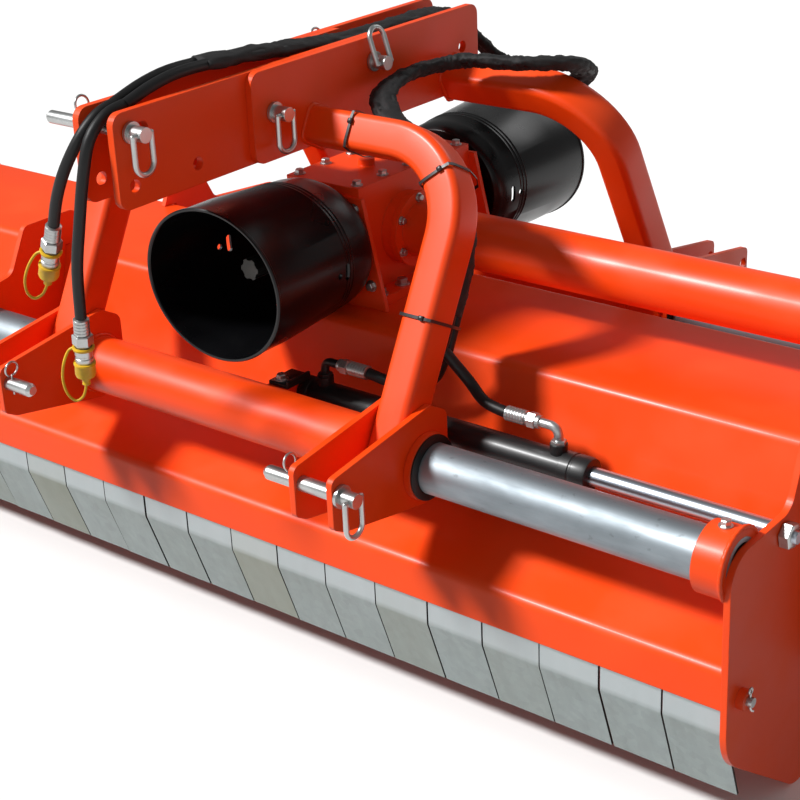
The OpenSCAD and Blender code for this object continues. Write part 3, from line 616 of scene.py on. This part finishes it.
# Cable ties
# Flat black plastic ties pulled round the front right arch and the sleeve behind it.
# Each is a thin strap with a square head.
tie_plastic = Finish("tie plastic")
tie_cloud = tie_plastic.mottle(80.0)
tie_look = tie_plastic.use(
    Base_Color=tie_plastic.blend(tie_cloud, (12, 12, 13), (30, 30, 32)),
    Roughness=0.3 + 0.2 * tie_cloud,
)
tie_loop = [
    (-29.5, -20), (-29.5, 20), (-27, 31), (-18, 33), (18, 33), (27, 31), (29.5, 20), (29.5, -20),
    (22, -50), (10, -72), (-10, -72), (-22, -50),
]
tie_spots = (
    (138, 0, 0),
    (arch_level + arch_bend * 0.74, arch_bend - arch_bend * 0.672, 47.7),
    (arch_reach, 245, 90),
)
ties = Shape()
for x, drop, turn in tie_spots:
    turn = math.radians(turn)
    across = Vector((math.sin(turn), -math.cos(turn)))
    corners = [arch_place(1, False, x + across.x * u, drop + across.y * u, v) for u, v in tie_loop]
    ring = []
    for here, there in zip(corners, corners[1:] + corners[:1]):
        ring += [here, here.lerp(there, 0.5)]
    along = arch_place(1, False, x - across.y, drop + across.x) - arch_place(1, False, x, drop)
    middle = sum(ring, Vector()) / len(ring)
    strip = []
    for point in ring:
        out = (point - middle).normalized() * 0.0013
        edge = along.normalized() * 0.0023
        strip.append([point - edge, point + edge, point + edge + out, point - edge + out])
    ties.rings(strip, closed=True)
    head = arch_place(1, False, x + across.x * 12, drop + across.y * 12, 34)
    front = arch_place(1, False, x, drop, 1) - arch_place(1, False, x, drop)
    ties.block(head, (0.0075, 0.008, 0.006), along, front)
ties.piece("cable_ties", tie_look, "hitch", "black_plastic")


# Weld beads
# Rippled fillet welds where tubes meet plates, painted over with the steel round them.
# Laid along rings and seams, one run each.
def weld(shape, path, closed=False, radius=0.0034):
    """A bead along a path, in steps about as long as its radius."""
    about_step = 0.0035
    length = sum((b - a).length for a, b in zip(path, path[1:]))
    count = max(int(length / about_step), 8)
    line = []
    step = length / count
    gone = 0.0
    k = 0
    for a, b in zip(path, path[1:]):
        span = (b - a).length
        while k * step <= gone + span and k <= count:
            line.append(a.lerp(b, (k * step - gone) / span))
            k += 1
        gone += span
    turns = [2 * math.pi * i / 8 for i in range(8)]

    def bead(step):
        ripple = 0.16 * math.sin(step * 2.1)
        uneven = 0.10 * noise.noise(Vector((step * 0.7, radius * 900, 3)))
        swell = radius * (1 + ripple + uneven)
        return [(swell * math.cos(t), swell * math.sin(t)) for t in turns]

    shape.sweep(line[:-1] if closed else line, bead, closed)


def hoop(x, y, z, radius, count=72):
    turns = [2 * math.pi * k / count for k in range(count + 1)]
    return [at(x, y + radius * math.cos(t), z + radius * math.sin(t)) for t in turns]


tube_ys = (187, 897)
tube_z = 448
hitch_welds = Shape()
deck_welds = Shape()
for y in tube_ys:
    for side in (-1, 1):
        for x in (301, 314, 369, 382):
            weld(hitch_welds, hoop(side * x, y, tube_z, 47), True)
    weld(deck_welds, hoop(hood_right - 2, y, tube_z, 50.5), True, 0.0036)
for side in (-1, 1):
    for mirror in (False, True):
        outline = [arch_place(side, mirror, 53.5, u, v) for u, v in rounded(58, 64, 13)]
        weld(hitch_welds, outline + outline[:1], True)
seam = [at(hood_right - 1, p.x, p.y + 1.5) for p in outer]
weld(deck_welds, seam)
hitch_welds.piece("hitch_welds", paint_look, "hitch", "orange_paint", 180)
deck_welds.piece("deck_welds", paint_look, "deck", "orange_paint", 180)


# Shift tubes and sliding seals
# Bright drawn tubes, zinc plated, on which the hitch slides; rubber wiper rings close the sleeves.
# Drawing lines run along the tubes, with stains wiped in the same direction.
bright = Finish("bright tube", Metallic=0.9)
bright_lines = bright.mottle(14.0, 4.0, (0.35, 16.0, 16.0))
bright_stain = (bright.mottle(17.0, 6.0, (0.45, 1.2, 1.2)) * 2.8 - 1.0).clip()
bright_specks = (bright.mottle(80.0, 3.0, (0.7, 1.0, 1.0)) * 8.0 - 5.2).clip()
bright_colour = bright.blend(
    0.6 * bright_stain + 0.2 * bright_lines, (152, 161, 167), (102, 109, 113)
)
bright_look = bright.use(
    Base_Color=bright.blend(0.5 * bright_specks, bright_colour, (70, 74, 76)),
    Roughness=0.43 + 0.1 * bright_lines + 0.14 * bright_stain,
    Normal=bright.rough(bright_lines, 0.1, 0.0006),
)
dress(bright_look, "shift_tubes")
seal_line = [
    (0.0384, -0.0006), (0.0492, -0.0006), (0.0492, 0.0022),
    (0.0440, 0.0052), (0.0384, 0.0058), (0.0384, -0.0006),
]
seals = Shape()
for y in tube_ys:
    for side in (-1, 1):
        seals.turned(seal_line, at(side * 392.5, y, tube_z), (side, 0, 0), 64)
seals.piece("sleeve_seals", rubber_look, "hitch", "rubber")


# Front flaps and their rod
# Galvanised sheet flaps hang side by side on one rod and swing inwards.
# Zinc spangle, run marks downwards and brownish stains; the side faces are painted near black as
# painted shade in the gaps between flaps.
galvanised = Finish("galvanised", Metallic=0.72)
flap_height = galvanised.node("ShaderNodeSeparateXYZ", {}, {0: galvanised.place}, "Z")
# The upright band above the bend is painted lighter: a painted reflection of the sky.
flap_painted_sheen = ((flap_height - 0.187) * 90.0).clip()
flap_tone = galvanised.node("ShaderNodeAttribute", {"attribute_name": "tone"}, {}, "Fac")
galvanised.place = galvanised.node(
    "ShaderNodeVectorMath", {"operation": "ADD"}, {0: galvanised.place, 1: flap_tone * 7.0}
)
flake = galvanised.node(
    "ShaderNodeTexVoronoi", {}, {"Vector": galvanised.place, "Scale": 85.0}, "Color"
)
flake_tone = galvanised.node("ShaderNodeSeparateColor", {}, {0: flake})
flap_runs = galvanised.mottle(9.0, 5.0, (6.0, 6.0, 0.8))
flap_stain = (galvanised.mottle(5.0, 5.0) * 2.6 - 1.05).clip()
flap_soft = galvanised.soft(0.0012)
flap_colour = galvanised.blend(
    0.25 * flake_tone + 0.55 * flap_runs, (126, 135, 134), (168, 178, 178)
)
flap_colour = galvanised.blend(
    (0.3 * flap_stain + (flap_tone * 2.4 - 1.3).clip()).clip() * 0.5, flap_colour, (136, 135, 112)
)
# Painted sky reflection on the upright band of each flap.
flap_colour = galvanised.blend(0.6 * flap_painted_sheen, flap_colour, (194, 202, 205))
# The side faces of each flap are painted near black: painted shade in the gaps between the flaps.
flap_gap_shade = galvanised.node("ShaderNodeAttribute", {"attribute_name": "painted_gap_shade"}, {}, "Fac")
flap_colour = galvanised.blend(flap_gap_shade, flap_colour, (30, 29, 27))
galvanised_look = galvanised.use(
    Base_Color=flap_colour,
    Roughness=0.38 + 0.1 * flake_tone + 0.14 * flap_stain,
    Normal=galvanised.rough(flap_runs, 0.12, 0.001, flap_soft),
)
flap_names = ["flap_%02d" % k for k in range(1, 21)]
dress(galvanised_look, *flap_names)
flap_rod_y = 184.3
flap_rod_z = 252
flap_eye = 9.25
flap_middle = []
for k in range(19):
    t = math.radians(-75 + 255 * k / 18)
    y = flap_rod_y + flap_eye * math.cos(t)
    z = flap_rod_z + flap_eye * math.sin(t)
    flap_middle.append(Vector((y, z)))
flap_face = flap_rod_y - flap_eye
flap_middle += filleted([(flap_face, 246), (flap_face, 190), (215, 72.5)], 12, 8)
flap_front = []
flap_back = []
flap_half_sheet = 2
for k, point in enumerate(flap_middle):
    ahead = flap_middle[min(k + 1, len(flap_middle) - 1)]
    along = (ahead - flap_middle[max(k - 1, 0)]).normalized()
    flap_front.append(point + Vector((along.y, -along.x)) * flap_half_sheet)
    flap_back.append(point - Vector((along.y, -along.x)) * flap_half_sheet)
flap_gaps = []
for k in range(len(flap_names) + 1):
    spread = min(1.8 * abs(noise.noise(Vector((k * 2.3, 4.1, 6.7)))), 1)
    flap_gaps.append(1.6 + 4.0 * spread ** 2)
flap_width = 100
for number, name in enumerate(flap_names):
    right = hood_right - flap_width * number - flap_gaps[number] / 2
    left = hood_right - flap_width * (number + 1) + flap_gaps[number + 1] / 2
    rings = []
    for k in range(11):
        x = right + (left - right) * k / 10
        ring = []
        for p in flap_front + flap_back[::-1]:
            hang = max(200 - p.y, 0) / 128
            wave = hang * 1.1 * noise.noise(Vector((x * 0.013, number * 1.7, p.y * 0.004)))
            ring.append(at(x, p.x + wave, p.y))
        rings.append(ring)
    sheet = Shape().rings(rings).piece("hung_" + name, galvanised_look, name, "galvanised", 25)
    tone = sheet.data.attributes.new("tone", "FLOAT", "POINT")
    shade = 0.5 + 0.9 * noise.noise(Vector((number * 3.17, 8.2, 1.4)))
    for value in tone.data:
        value.value = shade
    # Side faces, the n-gon ends of each sheet, take the painted gap shade.
    painted_gap_shade = sheet.data.attributes.new("painted_gap_shade", "FLOAT", "FACE")
    for value, face in zip(painted_gap_shade.data, sheet.data.polygons):
        value.value = 1.0 if len(face.vertices) > 4 else 0.0
    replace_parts(sheet, name)
dress(zinc_look, "flap_rod")


# Shaft shields
# Two moulded black cones, slightly oval, guard the shafts in front of and behind the gearbox.
# Thin plastic with a rolled rim, three low ribs and a slot and a hole in each side; cut out below.
shield = Finish("black plastic", Specular_IOR_Level=0.35)
shield_cloud = shield.mottle(12.0, 4.0)
shield_look = shield.use(
    Base_Color=shield.blend(shield_cloud, (3, 3, 4), (12, 12, 14)),
    Roughness=0.2 + 0.18 * shield_cloud,
    Normal=shield.rough(shield.mottle(160.0, 2.0), 0.06, 0.0012),
)
dress(shield_look, "pto_cones")


def cut(piece, cutter):
    """Cuts a shape out of a finished piece."""
    tool_mesh = bpy.data.meshes.new("cutter")
    tool_mesh.from_pydata([tuple(p) for p in cutter.points], [], cutter.faces)
    outward = bmesh.new()
    outward.from_mesh(tool_mesh)
    bmesh.ops.recalc_face_normals(outward, faces=outward.faces)
    outward.to_mesh(tool_mesh)
    outward.free()
    tool = bpy.data.objects.new("cutter", tool_mesh)
    bpy.context.scene.collection.objects.link(tool)
    taken = piece.modifiers.new("cut", "BOOLEAN")
    taken.object = tool
    taken.solver = "MANIFOLD"
    bpy.context.view_layer.update()
    ready = piece.evaluated_get(bpy.context.evaluated_depsgraph_get())
    piece.data = bpy.data.meshes.new_from_object(ready)
    piece.modifiers.clear()
    bpy.data.objects.remove(tool)
    bpy.data.meshes.remove(tool_mesh)


ribs = []
for k in range(3):
    ribs += [
        (0.11215 - 0.0006 * k, 0.0775 - 0.008 * k),
        (0.1128 - 0.0006 * k, 0.0760 - 0.008 * k),
        (0.1119 - 0.0006 * k, 0.0745 - 0.008 * k),
    ]
shield_line = [
    (0.1150, 0.2425), (0.1162, 0.2447), (0.1188, 0.2450), (0.1208, 0.2432), (0.1208, 0.2400),
    (0.1192, 0.2380), (0.1190, 0.1730), *ribs, (0.1090, 0.0300), (0.1060, 0.0120),
    (0.1010, 0.0020), (0.0985, 0), (0.0460, 0), (0.0460, 0.0040), (0.0970, 0.0040),
    (0.1050, 0.0320), (0.1150, 0.1740), (0.1150, 0.2425),
]
shaft_z = 652
shield_oval = 1.14
for name, face, way, slot in (("front", 410, -1, 76), ("rear", 742, 1, 40)):
    guard = Shape()
    guard.turned(shield_line, at(0, face, shaft_z), (0, way, 0), 128, shield_oval, (1, 0, 0))
    guard = guard.piece("shaft_shield_" + name, shield_look, "deck", "black_plastic", 30)
    gaps = Shape()
    gaps.block(at(0, face + way * slot, 647), (0.5, 0.010, 0.028), trim=0.3)
    hole = at(0, face + way * (slot + 20), 646)
    gaps.turned([(0.005, -0.25), (0.005, 0.25)], hole, (1, 0, 0), 24)
    gaps.block(at(0, face + way * 30, 502), (0.24, 0.064, 0.1), trim=0.01)
    cut(guard, gaps)
    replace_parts(guard, "pto_cones")


# Gearbox
# Cast iron case between the shields, painted like the rest, with machined bosses and bolted covers.
# Bolt heads are instanced on a list of spots, each with the way it points.
dress(paint_look, "gearbox_case")
bolt_tree = bpy.data.node_groups.new("hexagon bolts", "GeometryNodeTree")
bolt_inputs = {}
for name, kind in (
    ("Spots", "NodeSocketGeometry"), ("Head radius", "NodeSocketFloat"),
    ("Head height", "NodeSocketFloat"), ("Finish", "NodeSocketMaterial"),
):
    made = bolt_tree.interface.new_socket(name, in_out="INPUT", socket_type=kind)
    bolt_inputs[name] = made.identifier
bolt_tree.interface.new_socket("Bolts", in_out="OUTPUT", socket_type="NodeSocketGeometry")


def geo(kind, settings=None, sockets=None):
    made = bolt_tree.nodes.new(kind)
    for key, value in (settings or {}).items():
        setattr(made, key, value)
    for key, value in (sockets or {}).items():
        if isinstance(value, bpy.types.NodeSocket):
            bolt_tree.links.new(value, made.inputs[key])
        else:
            made.inputs[key].default_value = value
    return made


given = geo("NodeGroupInput").outputs


def times(socket, factor):
    return geo("ShaderNodeMath", {"operation": "MULTIPLY"}, {0: socket, 1: factor}).outputs[0]


def lifted(mesh, height):
    offset = geo("ShaderNodeCombineXYZ", {}, {"Z": height}).outputs[0]
    return geo("GeometryNodeTransform", {}, {"Geometry": mesh, "Translation": offset}).outputs[0]


head_radius = given["Head radius"]
head_height = given["Head height"]
washer = geo("GeometryNodeMeshCylinder", {}, {
    "Vertices": 24, "Radius": times(head_radius, 1.3), "Depth": times(head_height, 0.3),
}).outputs["Mesh"]
hexagon = geo("GeometryNodeMeshCylinder", {}, {
    "Vertices": 6, "Radius": head_radius, "Depth": head_height,
}).outputs["Mesh"]
crown = geo("GeometryNodeMeshCone", {}, {
    "Vertices": 6, "Radius Top": times(head_radius, 0.8), "Radius Bottom": head_radius,
    "Depth": times(head_height, 0.22),
}).outputs["Mesh"]
bolt = geo("GeometryNodeJoinGeometry")
for form, height in ((washer, 0.12), (hexagon, 0.7), (crown, 1.2)):
    bolt_tree.links.new(lifted(form, times(head_height, height)), bolt.inputs[0])
way_read = geo(
    "GeometryNodeInputNamedAttribute", {"data_type": "FLOAT_VECTOR"}, {"Name": "way"}
).outputs[0]
aligned = geo("FunctionNodeAlignRotationToVector", {"axis": "Z"}, {"Vector": way_read}).outputs[0]
placed = geo("GeometryNodeInstanceOnPoints", {}, {
    "Points": given["Spots"], "Instance": bolt.outputs[0], "Rotation": aligned,
}).outputs[0]
real = geo("GeometryNodeRealizeInstances", {}, {"Geometry": placed}).outputs[0]
finished = geo(
    "GeometryNodeSetMaterial", {}, {"Geometry": real, "Material": given["Finish"]}
).outputs[0]
bolt_tree.links.new(finished, geo("NodeGroupOutput").inputs[0])


def bolts(name, spots, radius, height, look, body):
    """Bolt heads at spots, each a point and the way its head faces; sizes in metres."""
    mesh = bpy.data.meshes.new(name + "_spots")
    mesh.from_pydata([tuple(p) for p, w in spots], [], [])
    ways = mesh.attributes.new("way", "FLOAT_VECTOR", "POINT")
    for k, (point, way) in enumerate(spots):
        ways.data[k].vector = way
    made = bpy.data.objects.new(name, mesh)
    bpy.context.scene.collection.objects.link(made)
    grown = made.modifiers.new("bolts", "NODES")
    grown.node_group = bolt_tree
    grown[bolt_inputs["Head radius"]] = radius
    grown[bolt_inputs["Head height"]] = height
    grown[bolt_inputs["Finish"]] = look
    bpy.context.view_layer.update()
    ready = made.evaluated_get(bpy.context.evaluated_depsgraph_get())
    solid = bpy.data.meshes.new_from_object(ready)
    made.modifiers.remove(grown)
    made.data = solid
    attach(made, body)


def ring_of(count, centre, radius, way, start):
    """Spots round a boss whose axis lies along X."""
    spots = []
    x, y, z = centre
    for k in range(count):
        t = math.radians(start + 360 * k / count)
        spots.append((at(x, y + radius * math.cos(t), z + radius * math.sin(t)), way))
    return spots


upward = (0, 0, 1)
rightward = (1, 0, 0)
leftward = (-1, 0, 0)
foot_spots = [(at(x, y, 566), upward) for x in (-95, 95) for y in (450, 505, 560, 615)]
lid_spots = [(at(x, y, 744), upward) for x in (-60, 60) for y in (445, 510, 576, 642, 707)]
plate_places = ((-72, 712), (72, 712), (-100, 590), (100, 590))
plate_spots = [(at(x, 422, z), (0, -1, 0)) for x, z in plate_places]
bolts("gearbox_feet_bolts", foot_spots, 0.0095, 0.0075, zinc_look, "deck")
bolts("gearbox_lid_bolts", lid_spots + plate_spots, 0.0075, 0.006, zinc_look, "deck")
drive_axis = (542, shaft_z)
flange_spots = ring_of(6, (106, *drive_axis), 53.5, rightward, 30)
flange_spots += ring_of(6, (875, *drive_axis), 53.5, leftward, 30)
bolts("drive_tube_bolts", flange_spots, 0.0058, 0.0055, zinc_look, "deck")
collar_spots = [(at(863, y, 497.5), upward) for y in tube_ys]
bolts("collar_bolts", collar_spots, 0.0075, 0.007, zinc_look, "deck")
rotor_axis = (508, 245)
cover_spots = []
for (y, z), radius, turns in ((drive_axis, 96, (10, 90, 170)), (rotor_axis, 76, (190, 270, 350))):
    for turn in turns:
        t = math.radians(turn)
        spot = at(986, y + radius * math.cos(t), z + radius * math.sin(t))
        cover_spots.append((spot, rightward))
bolts("belt_cover_bolts", cover_spots, 0.008, 0.0065, zinc_look, "deck")
bearing_spots = ring_of(4, (-1140, *rotor_axis), 58, leftward, 45)
bolts("bearing_bolts", bearing_spots, 0.011, 0.009, zinc_look, "deck")


# Cylinder
# Hydraulic cylinder that shifts the hitch sideways: painted barrel, chromed rod, plated fittings.
# The rod is ground and hard chromed; a small bolted plate keeps the barrel's base in place.
black_paint = Finish("black paint", Coat_Weight=0.12, Coat_Roughness=0.2)
black_cloud = black_paint.mottle(10.0, 4.0)
black_look = black_paint.use(
    Base_Color=black_paint.blend(black_cloud, (7, 7, 8), (24, 24, 25)),
    Roughness=0.34 + 0.2 * black_cloud,
    Normal=black_paint.rough(black_paint.mottle(300.0), 0.06, 0.0008, black_paint.soft(0.0012)),
)
chrome = Finish("chrome", Metallic=1.0)
chrome_cloud = chrome.mottle(9.0, 2.0, (0.6, 1.0, 1.0))
chrome_look = chrome.use(
    Base_Color=chrome.blend(chrome_cloud, (150, 157, 167), (186, 192, 200)),
    Roughness=0.27 + 0.08 * chrome_cloud,
)
dress(black_look, "cylinder_barrel")
dress(chrome_look, "cylinder_rod")
dress(zinc_look, "hose_fittings")
cylinder_y = 285
cylinder_z = 452
rod_profile = [
    (0.0189, 0), (0.0189, 0.03), (0.014, 0.03), (0.014, 0.556),
    (0.01, 0.556), (0.01, 0.586), (0.0088, 0.588),
]
rod = Shape().turned(rod_profile, at(330, cylinder_y, cylinder_z), rightward, 72)
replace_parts(rod.piece("chromed_rod", chrome_look, "deck", "chrome"), "cylinder_rod")
nut_profile = [(0.0165, 0), (0.019, 0.0015), (0.019, 0.0145), (0.0165, 0.016)]
rod_nut = Shape()
rod_nut.turned(nut_profile, at(896, cylinder_y, cylinder_z), rightward, 42, flats=all_flat)
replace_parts(rod_nut.piece("rod_nut", zinc_look, "deck", "zinc"), "cylinder_rod")
port_z = 476
hose_z = 513
elbow_bend = ((0, port_z), (0, 495), (0.6, 502), (4, 509), (11, 512.6), (18, hose_z), (44, hose_z))
elbow_nut = [(0.0095, 0.006), (0.0118, 0.0072), (0.0118, 0.0168), (0.0095, 0.018)]
nut_collar = [(0.0090, -0.006), (0.0098, -0.005), (0.0098, 0), (0.0070, 0.001)]
hose_nut = [(0.0100, 0), (0.0122, 0.0012), (0.0122, 0.0138), (0.0100, 0.015)]
ferrule = [(0.0088, 0.014), (0.0088, 0.018), (0.0112, 0.019)]
for k in range(6):
    groove = 0.005 * k
    ferrule += [(0.0112, 0.0215 + groove), (0.0106, 0.0225 + groove), (0.0112, 0.0235 + groove)]
ferrule += [(0.0112, 0.0515), (0.0088, 0.0525)]
plated = Shape()
blackened = Shape()
for x, way, elbow in ((112, 1, blackened), (546, -1, plated)):
    bend = [at(x + way * along, cylinder_y, height) for along, height in elbow_bend]
    elbow.tube(smooth(bend, 5), 0.0068, 20)
    elbow.turned(elbow_nut, at(x, cylinder_y, port_z), upward, 42, flats=all_flat)
    start = at(x + way * 36, cylinder_y, hose_z)
    along = (way, 0, 0)
    plated.turned(nut_collar, start, along)
    plated.turned(hose_nut, start, along, 42, flats=all_flat)
    plated.turned(ferrule, start, along)
plated = plated.piece("plated_fittings", zinc_look, "hitch", "zinc")
blackened = blackened.piece("black_elbow", black_look, "hitch", "black_paint")
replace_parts(plated, "hose_fittings")
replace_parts(blackened, "hose_fittings")
rod_gland = [
    (0.0241, -0.044), (0.0262, -0.043), (0.0262, -0.027), (0.0249, -0.026), (0.0249, -0.023),
    (0.0262, -0.022), (0.0262, -0.004), (0.0245, 0.0015), (0.0175, 0.003), (0.0143, 0.003),
    (0.0143, -0.001), (0.0241, -0.044),
]
base_ring = [(0.0241, 0), (0.0256, 0.001), (0.0256, 0.016), (0.0241, 0.018), (0.0241, 0)]
glands = Shape()
glands.turned(rod_gland, at(600, cylinder_y, cylinder_z), rightward, 56)
glands.turned(base_ring, at(71, cylinder_y, cylinder_z), rightward, 56)
glands.piece("cylinder_gland", black_look, "hitch", "black_paint")
keeper = Shape()
keeper.block(at(78, 240, 490.5), (0.040, 0.054, 0.007))
keeper.block(at(95.5, 240, 496), (0.005, 0.052, 0.006))
keeper.piece("keeper_plate", black_look, "hitch", "black_paint")
keeper_spots = [(at(74, 226, 494), upward)]
bolts("keeper_bolt", keeper_spots, 0.0085, 0.007, zinc_look, "hitch")


# Pins and pull loops
# Plated hitch pins with wire pull loops, held by spring clips, and the split pin of the flap rod.
# Turned bar and bent spring wire.
dress(
    zinc_look, "lower_pins", "top_pins", "lower_loop_left", "lower_loop_right",
    "top_loop_front", "top_loop_mid", "top_loop_rear",
)


def spring_clip(shape, x, y, z, tip):
    """A ring clip: a straight shank through the pin and a round wire ring above it."""
    ring = 12
    line = [at(x, y, z - 17), at(x, y, z + 8), at(x, y, z + 15)]
    for k in range(1, 22):
        t = math.radians(-90 + 330 * k / 21)
        off = tip * (1 + math.sin(t)) * 1.5
        line.append(at(x + off, y + ring * math.cos(t), z + 27 + ring * math.sin(t)))
    shape.tube(smooth(line, 3), 0.0019, 10)


clips = Shape()
for x, y, z, tip in (
    (-294, 0, 480, 1), (294, 0, 480, -1), (-62, 274, 902, -1), (-62, 508, 928, -1), (-50, 0, 937, -1),
):
    spring_clip(clips, x, y, z, tip)
clips.piece("spring_clips", zinc_look, "hitch", "zinc")
split_radius = 0.0016
split_leg = [
    at(911, flap_rod_y, 266), at(911, flap_rod_y, 258), at(911, flap_rod_y, 246),
    at(912, 185.5, 239), at(913, 190, 235),
]
split_turns = [0.3 * k for k in range(21)]
split_eye = [at(911, flap_rod_y + 4 * math.cos(t), 269 + 4 * math.sin(t)) for t in split_turns]
split_pin = Shape()
split_pin.tube(smooth(split_leg, 4), split_radius, 8)
split_pin.tube(split_eye, split_radius, 8, True)
split_pin.piece("split_pin", zinc_look, "deck", "zinc")


# Drive
# Gearbox shafts, pulleys, belts, rotor with its flails and the rear roller.
# Forged and cast steel, moulded belts and a painted roller tube.
forged = Finish("forged steel", Metallic=0.8)
forged_cloud = forged.mottle(24.0, 5.0)
forged_look = forged.use(
    Base_Color=forged.blend(forged_cloud, (46, 45, 44), (96, 94, 91)),
    Roughness=0.34 + 0.3 * forged_cloud,
    Normal=forged.rough(forged.mottle(180.0), 0.15, 0.001, forged.soft(0.001)),
)
cast = Finish("cast iron", Metallic=0.4)
cast_cloud = cast.mottle(30.0, 5.0)
cast_look = cast.use(
    Base_Color=cast.blend(cast_cloud, (34, 33, 33), (74, 72, 70)),
    Roughness=0.5 + 0.25 * cast_cloud,
    Normal=cast.rough(cast.mottle(320.0), 0.3, 0.001),
)
dress(forged_look, "input_shaft", "drive_shaft", "flails")
dress(cast_look, "rotor_pulley", "shaft_bearings")
dress(rubber_look, "drive_belts")
dress(paint_look, "rotor")
dress(black_look, "rear_roller")


# Floor and light
# A pale studio floor that runs out of sight, one soft key from the front left and two weak fills.
floor_finish = Finish("floor")
floor_tone = floor_finish.mottle(3.0)
floor_look = floor_finish.use(
    Base_Color=floor_finish.blend(floor_tone, (236, 236, 235), (242, 242, 241)),
    Roughness=0.7 + 0.1 * floor_tone,
)
floor_reach = 400
floor_corners = [
    (-floor_reach, -floor_reach, 0), (floor_reach, -floor_reach, 0),
    (floor_reach, floor_reach, 0), (-floor_reach, floor_reach, 0),
]
floor_mesh = bpy.data.meshes.new("floor")
floor_mesh.from_pydata(floor_corners, [], [(0, 1, 2, 3)])
floor_mesh.materials.append(floor_look)
floor = bpy.data.objects.new("floor", floor_mesh)
floor.visible_diffuse = False
bpy.context.scene.collection.objects.link(floor)
key = bpy.data.lights.new("key", "SUN")
key.energy = 4.6
key.angle = math.radians(9)
key_object = bpy.data.objects.new("key", key)
key_way = Vector((0.47, 0.55, -0.69))
key_object.rotation_euler = key_way.to_track_quat("-Z", "Y").to_euler()
bpy.context.scene.collection.objects.link(key_object)
lamps = (("fill", 10, 2.5, (3.2, -3.8, 2.0)), ("rim", 30, 2.4, (0.5, 4.2, 3.4)))
lamps_aim = Vector((0, 0, 0.4))
for name, power, size, place in lamps:
    lamp = bpy.data.lights.new(name, "AREA")
    lamp.energy = power
    lamp.size = size
    lamp_object = bpy.data.objects.new(name, lamp)
    lamp_object.location = place
    lamp_way = lamps_aim - Vector(place)
    lamp_object.rotation_euler = lamp_way.to_track_quat("-Z", "Y").to_euler()
    bpy.context.scene.collection.objects.link(lamp_object)
world = bpy.data.worlds.new("studio")
world.use_nodes = True
sky = world.node_tree.nodes["Background"].inputs
sky["Color"].default_value = (1, 1, 1, 1)
sky["Strength"].default_value = 0.22
bpy.context.scene.view_settings.view_transform = "Standard"
bpy.context.scene.world = world
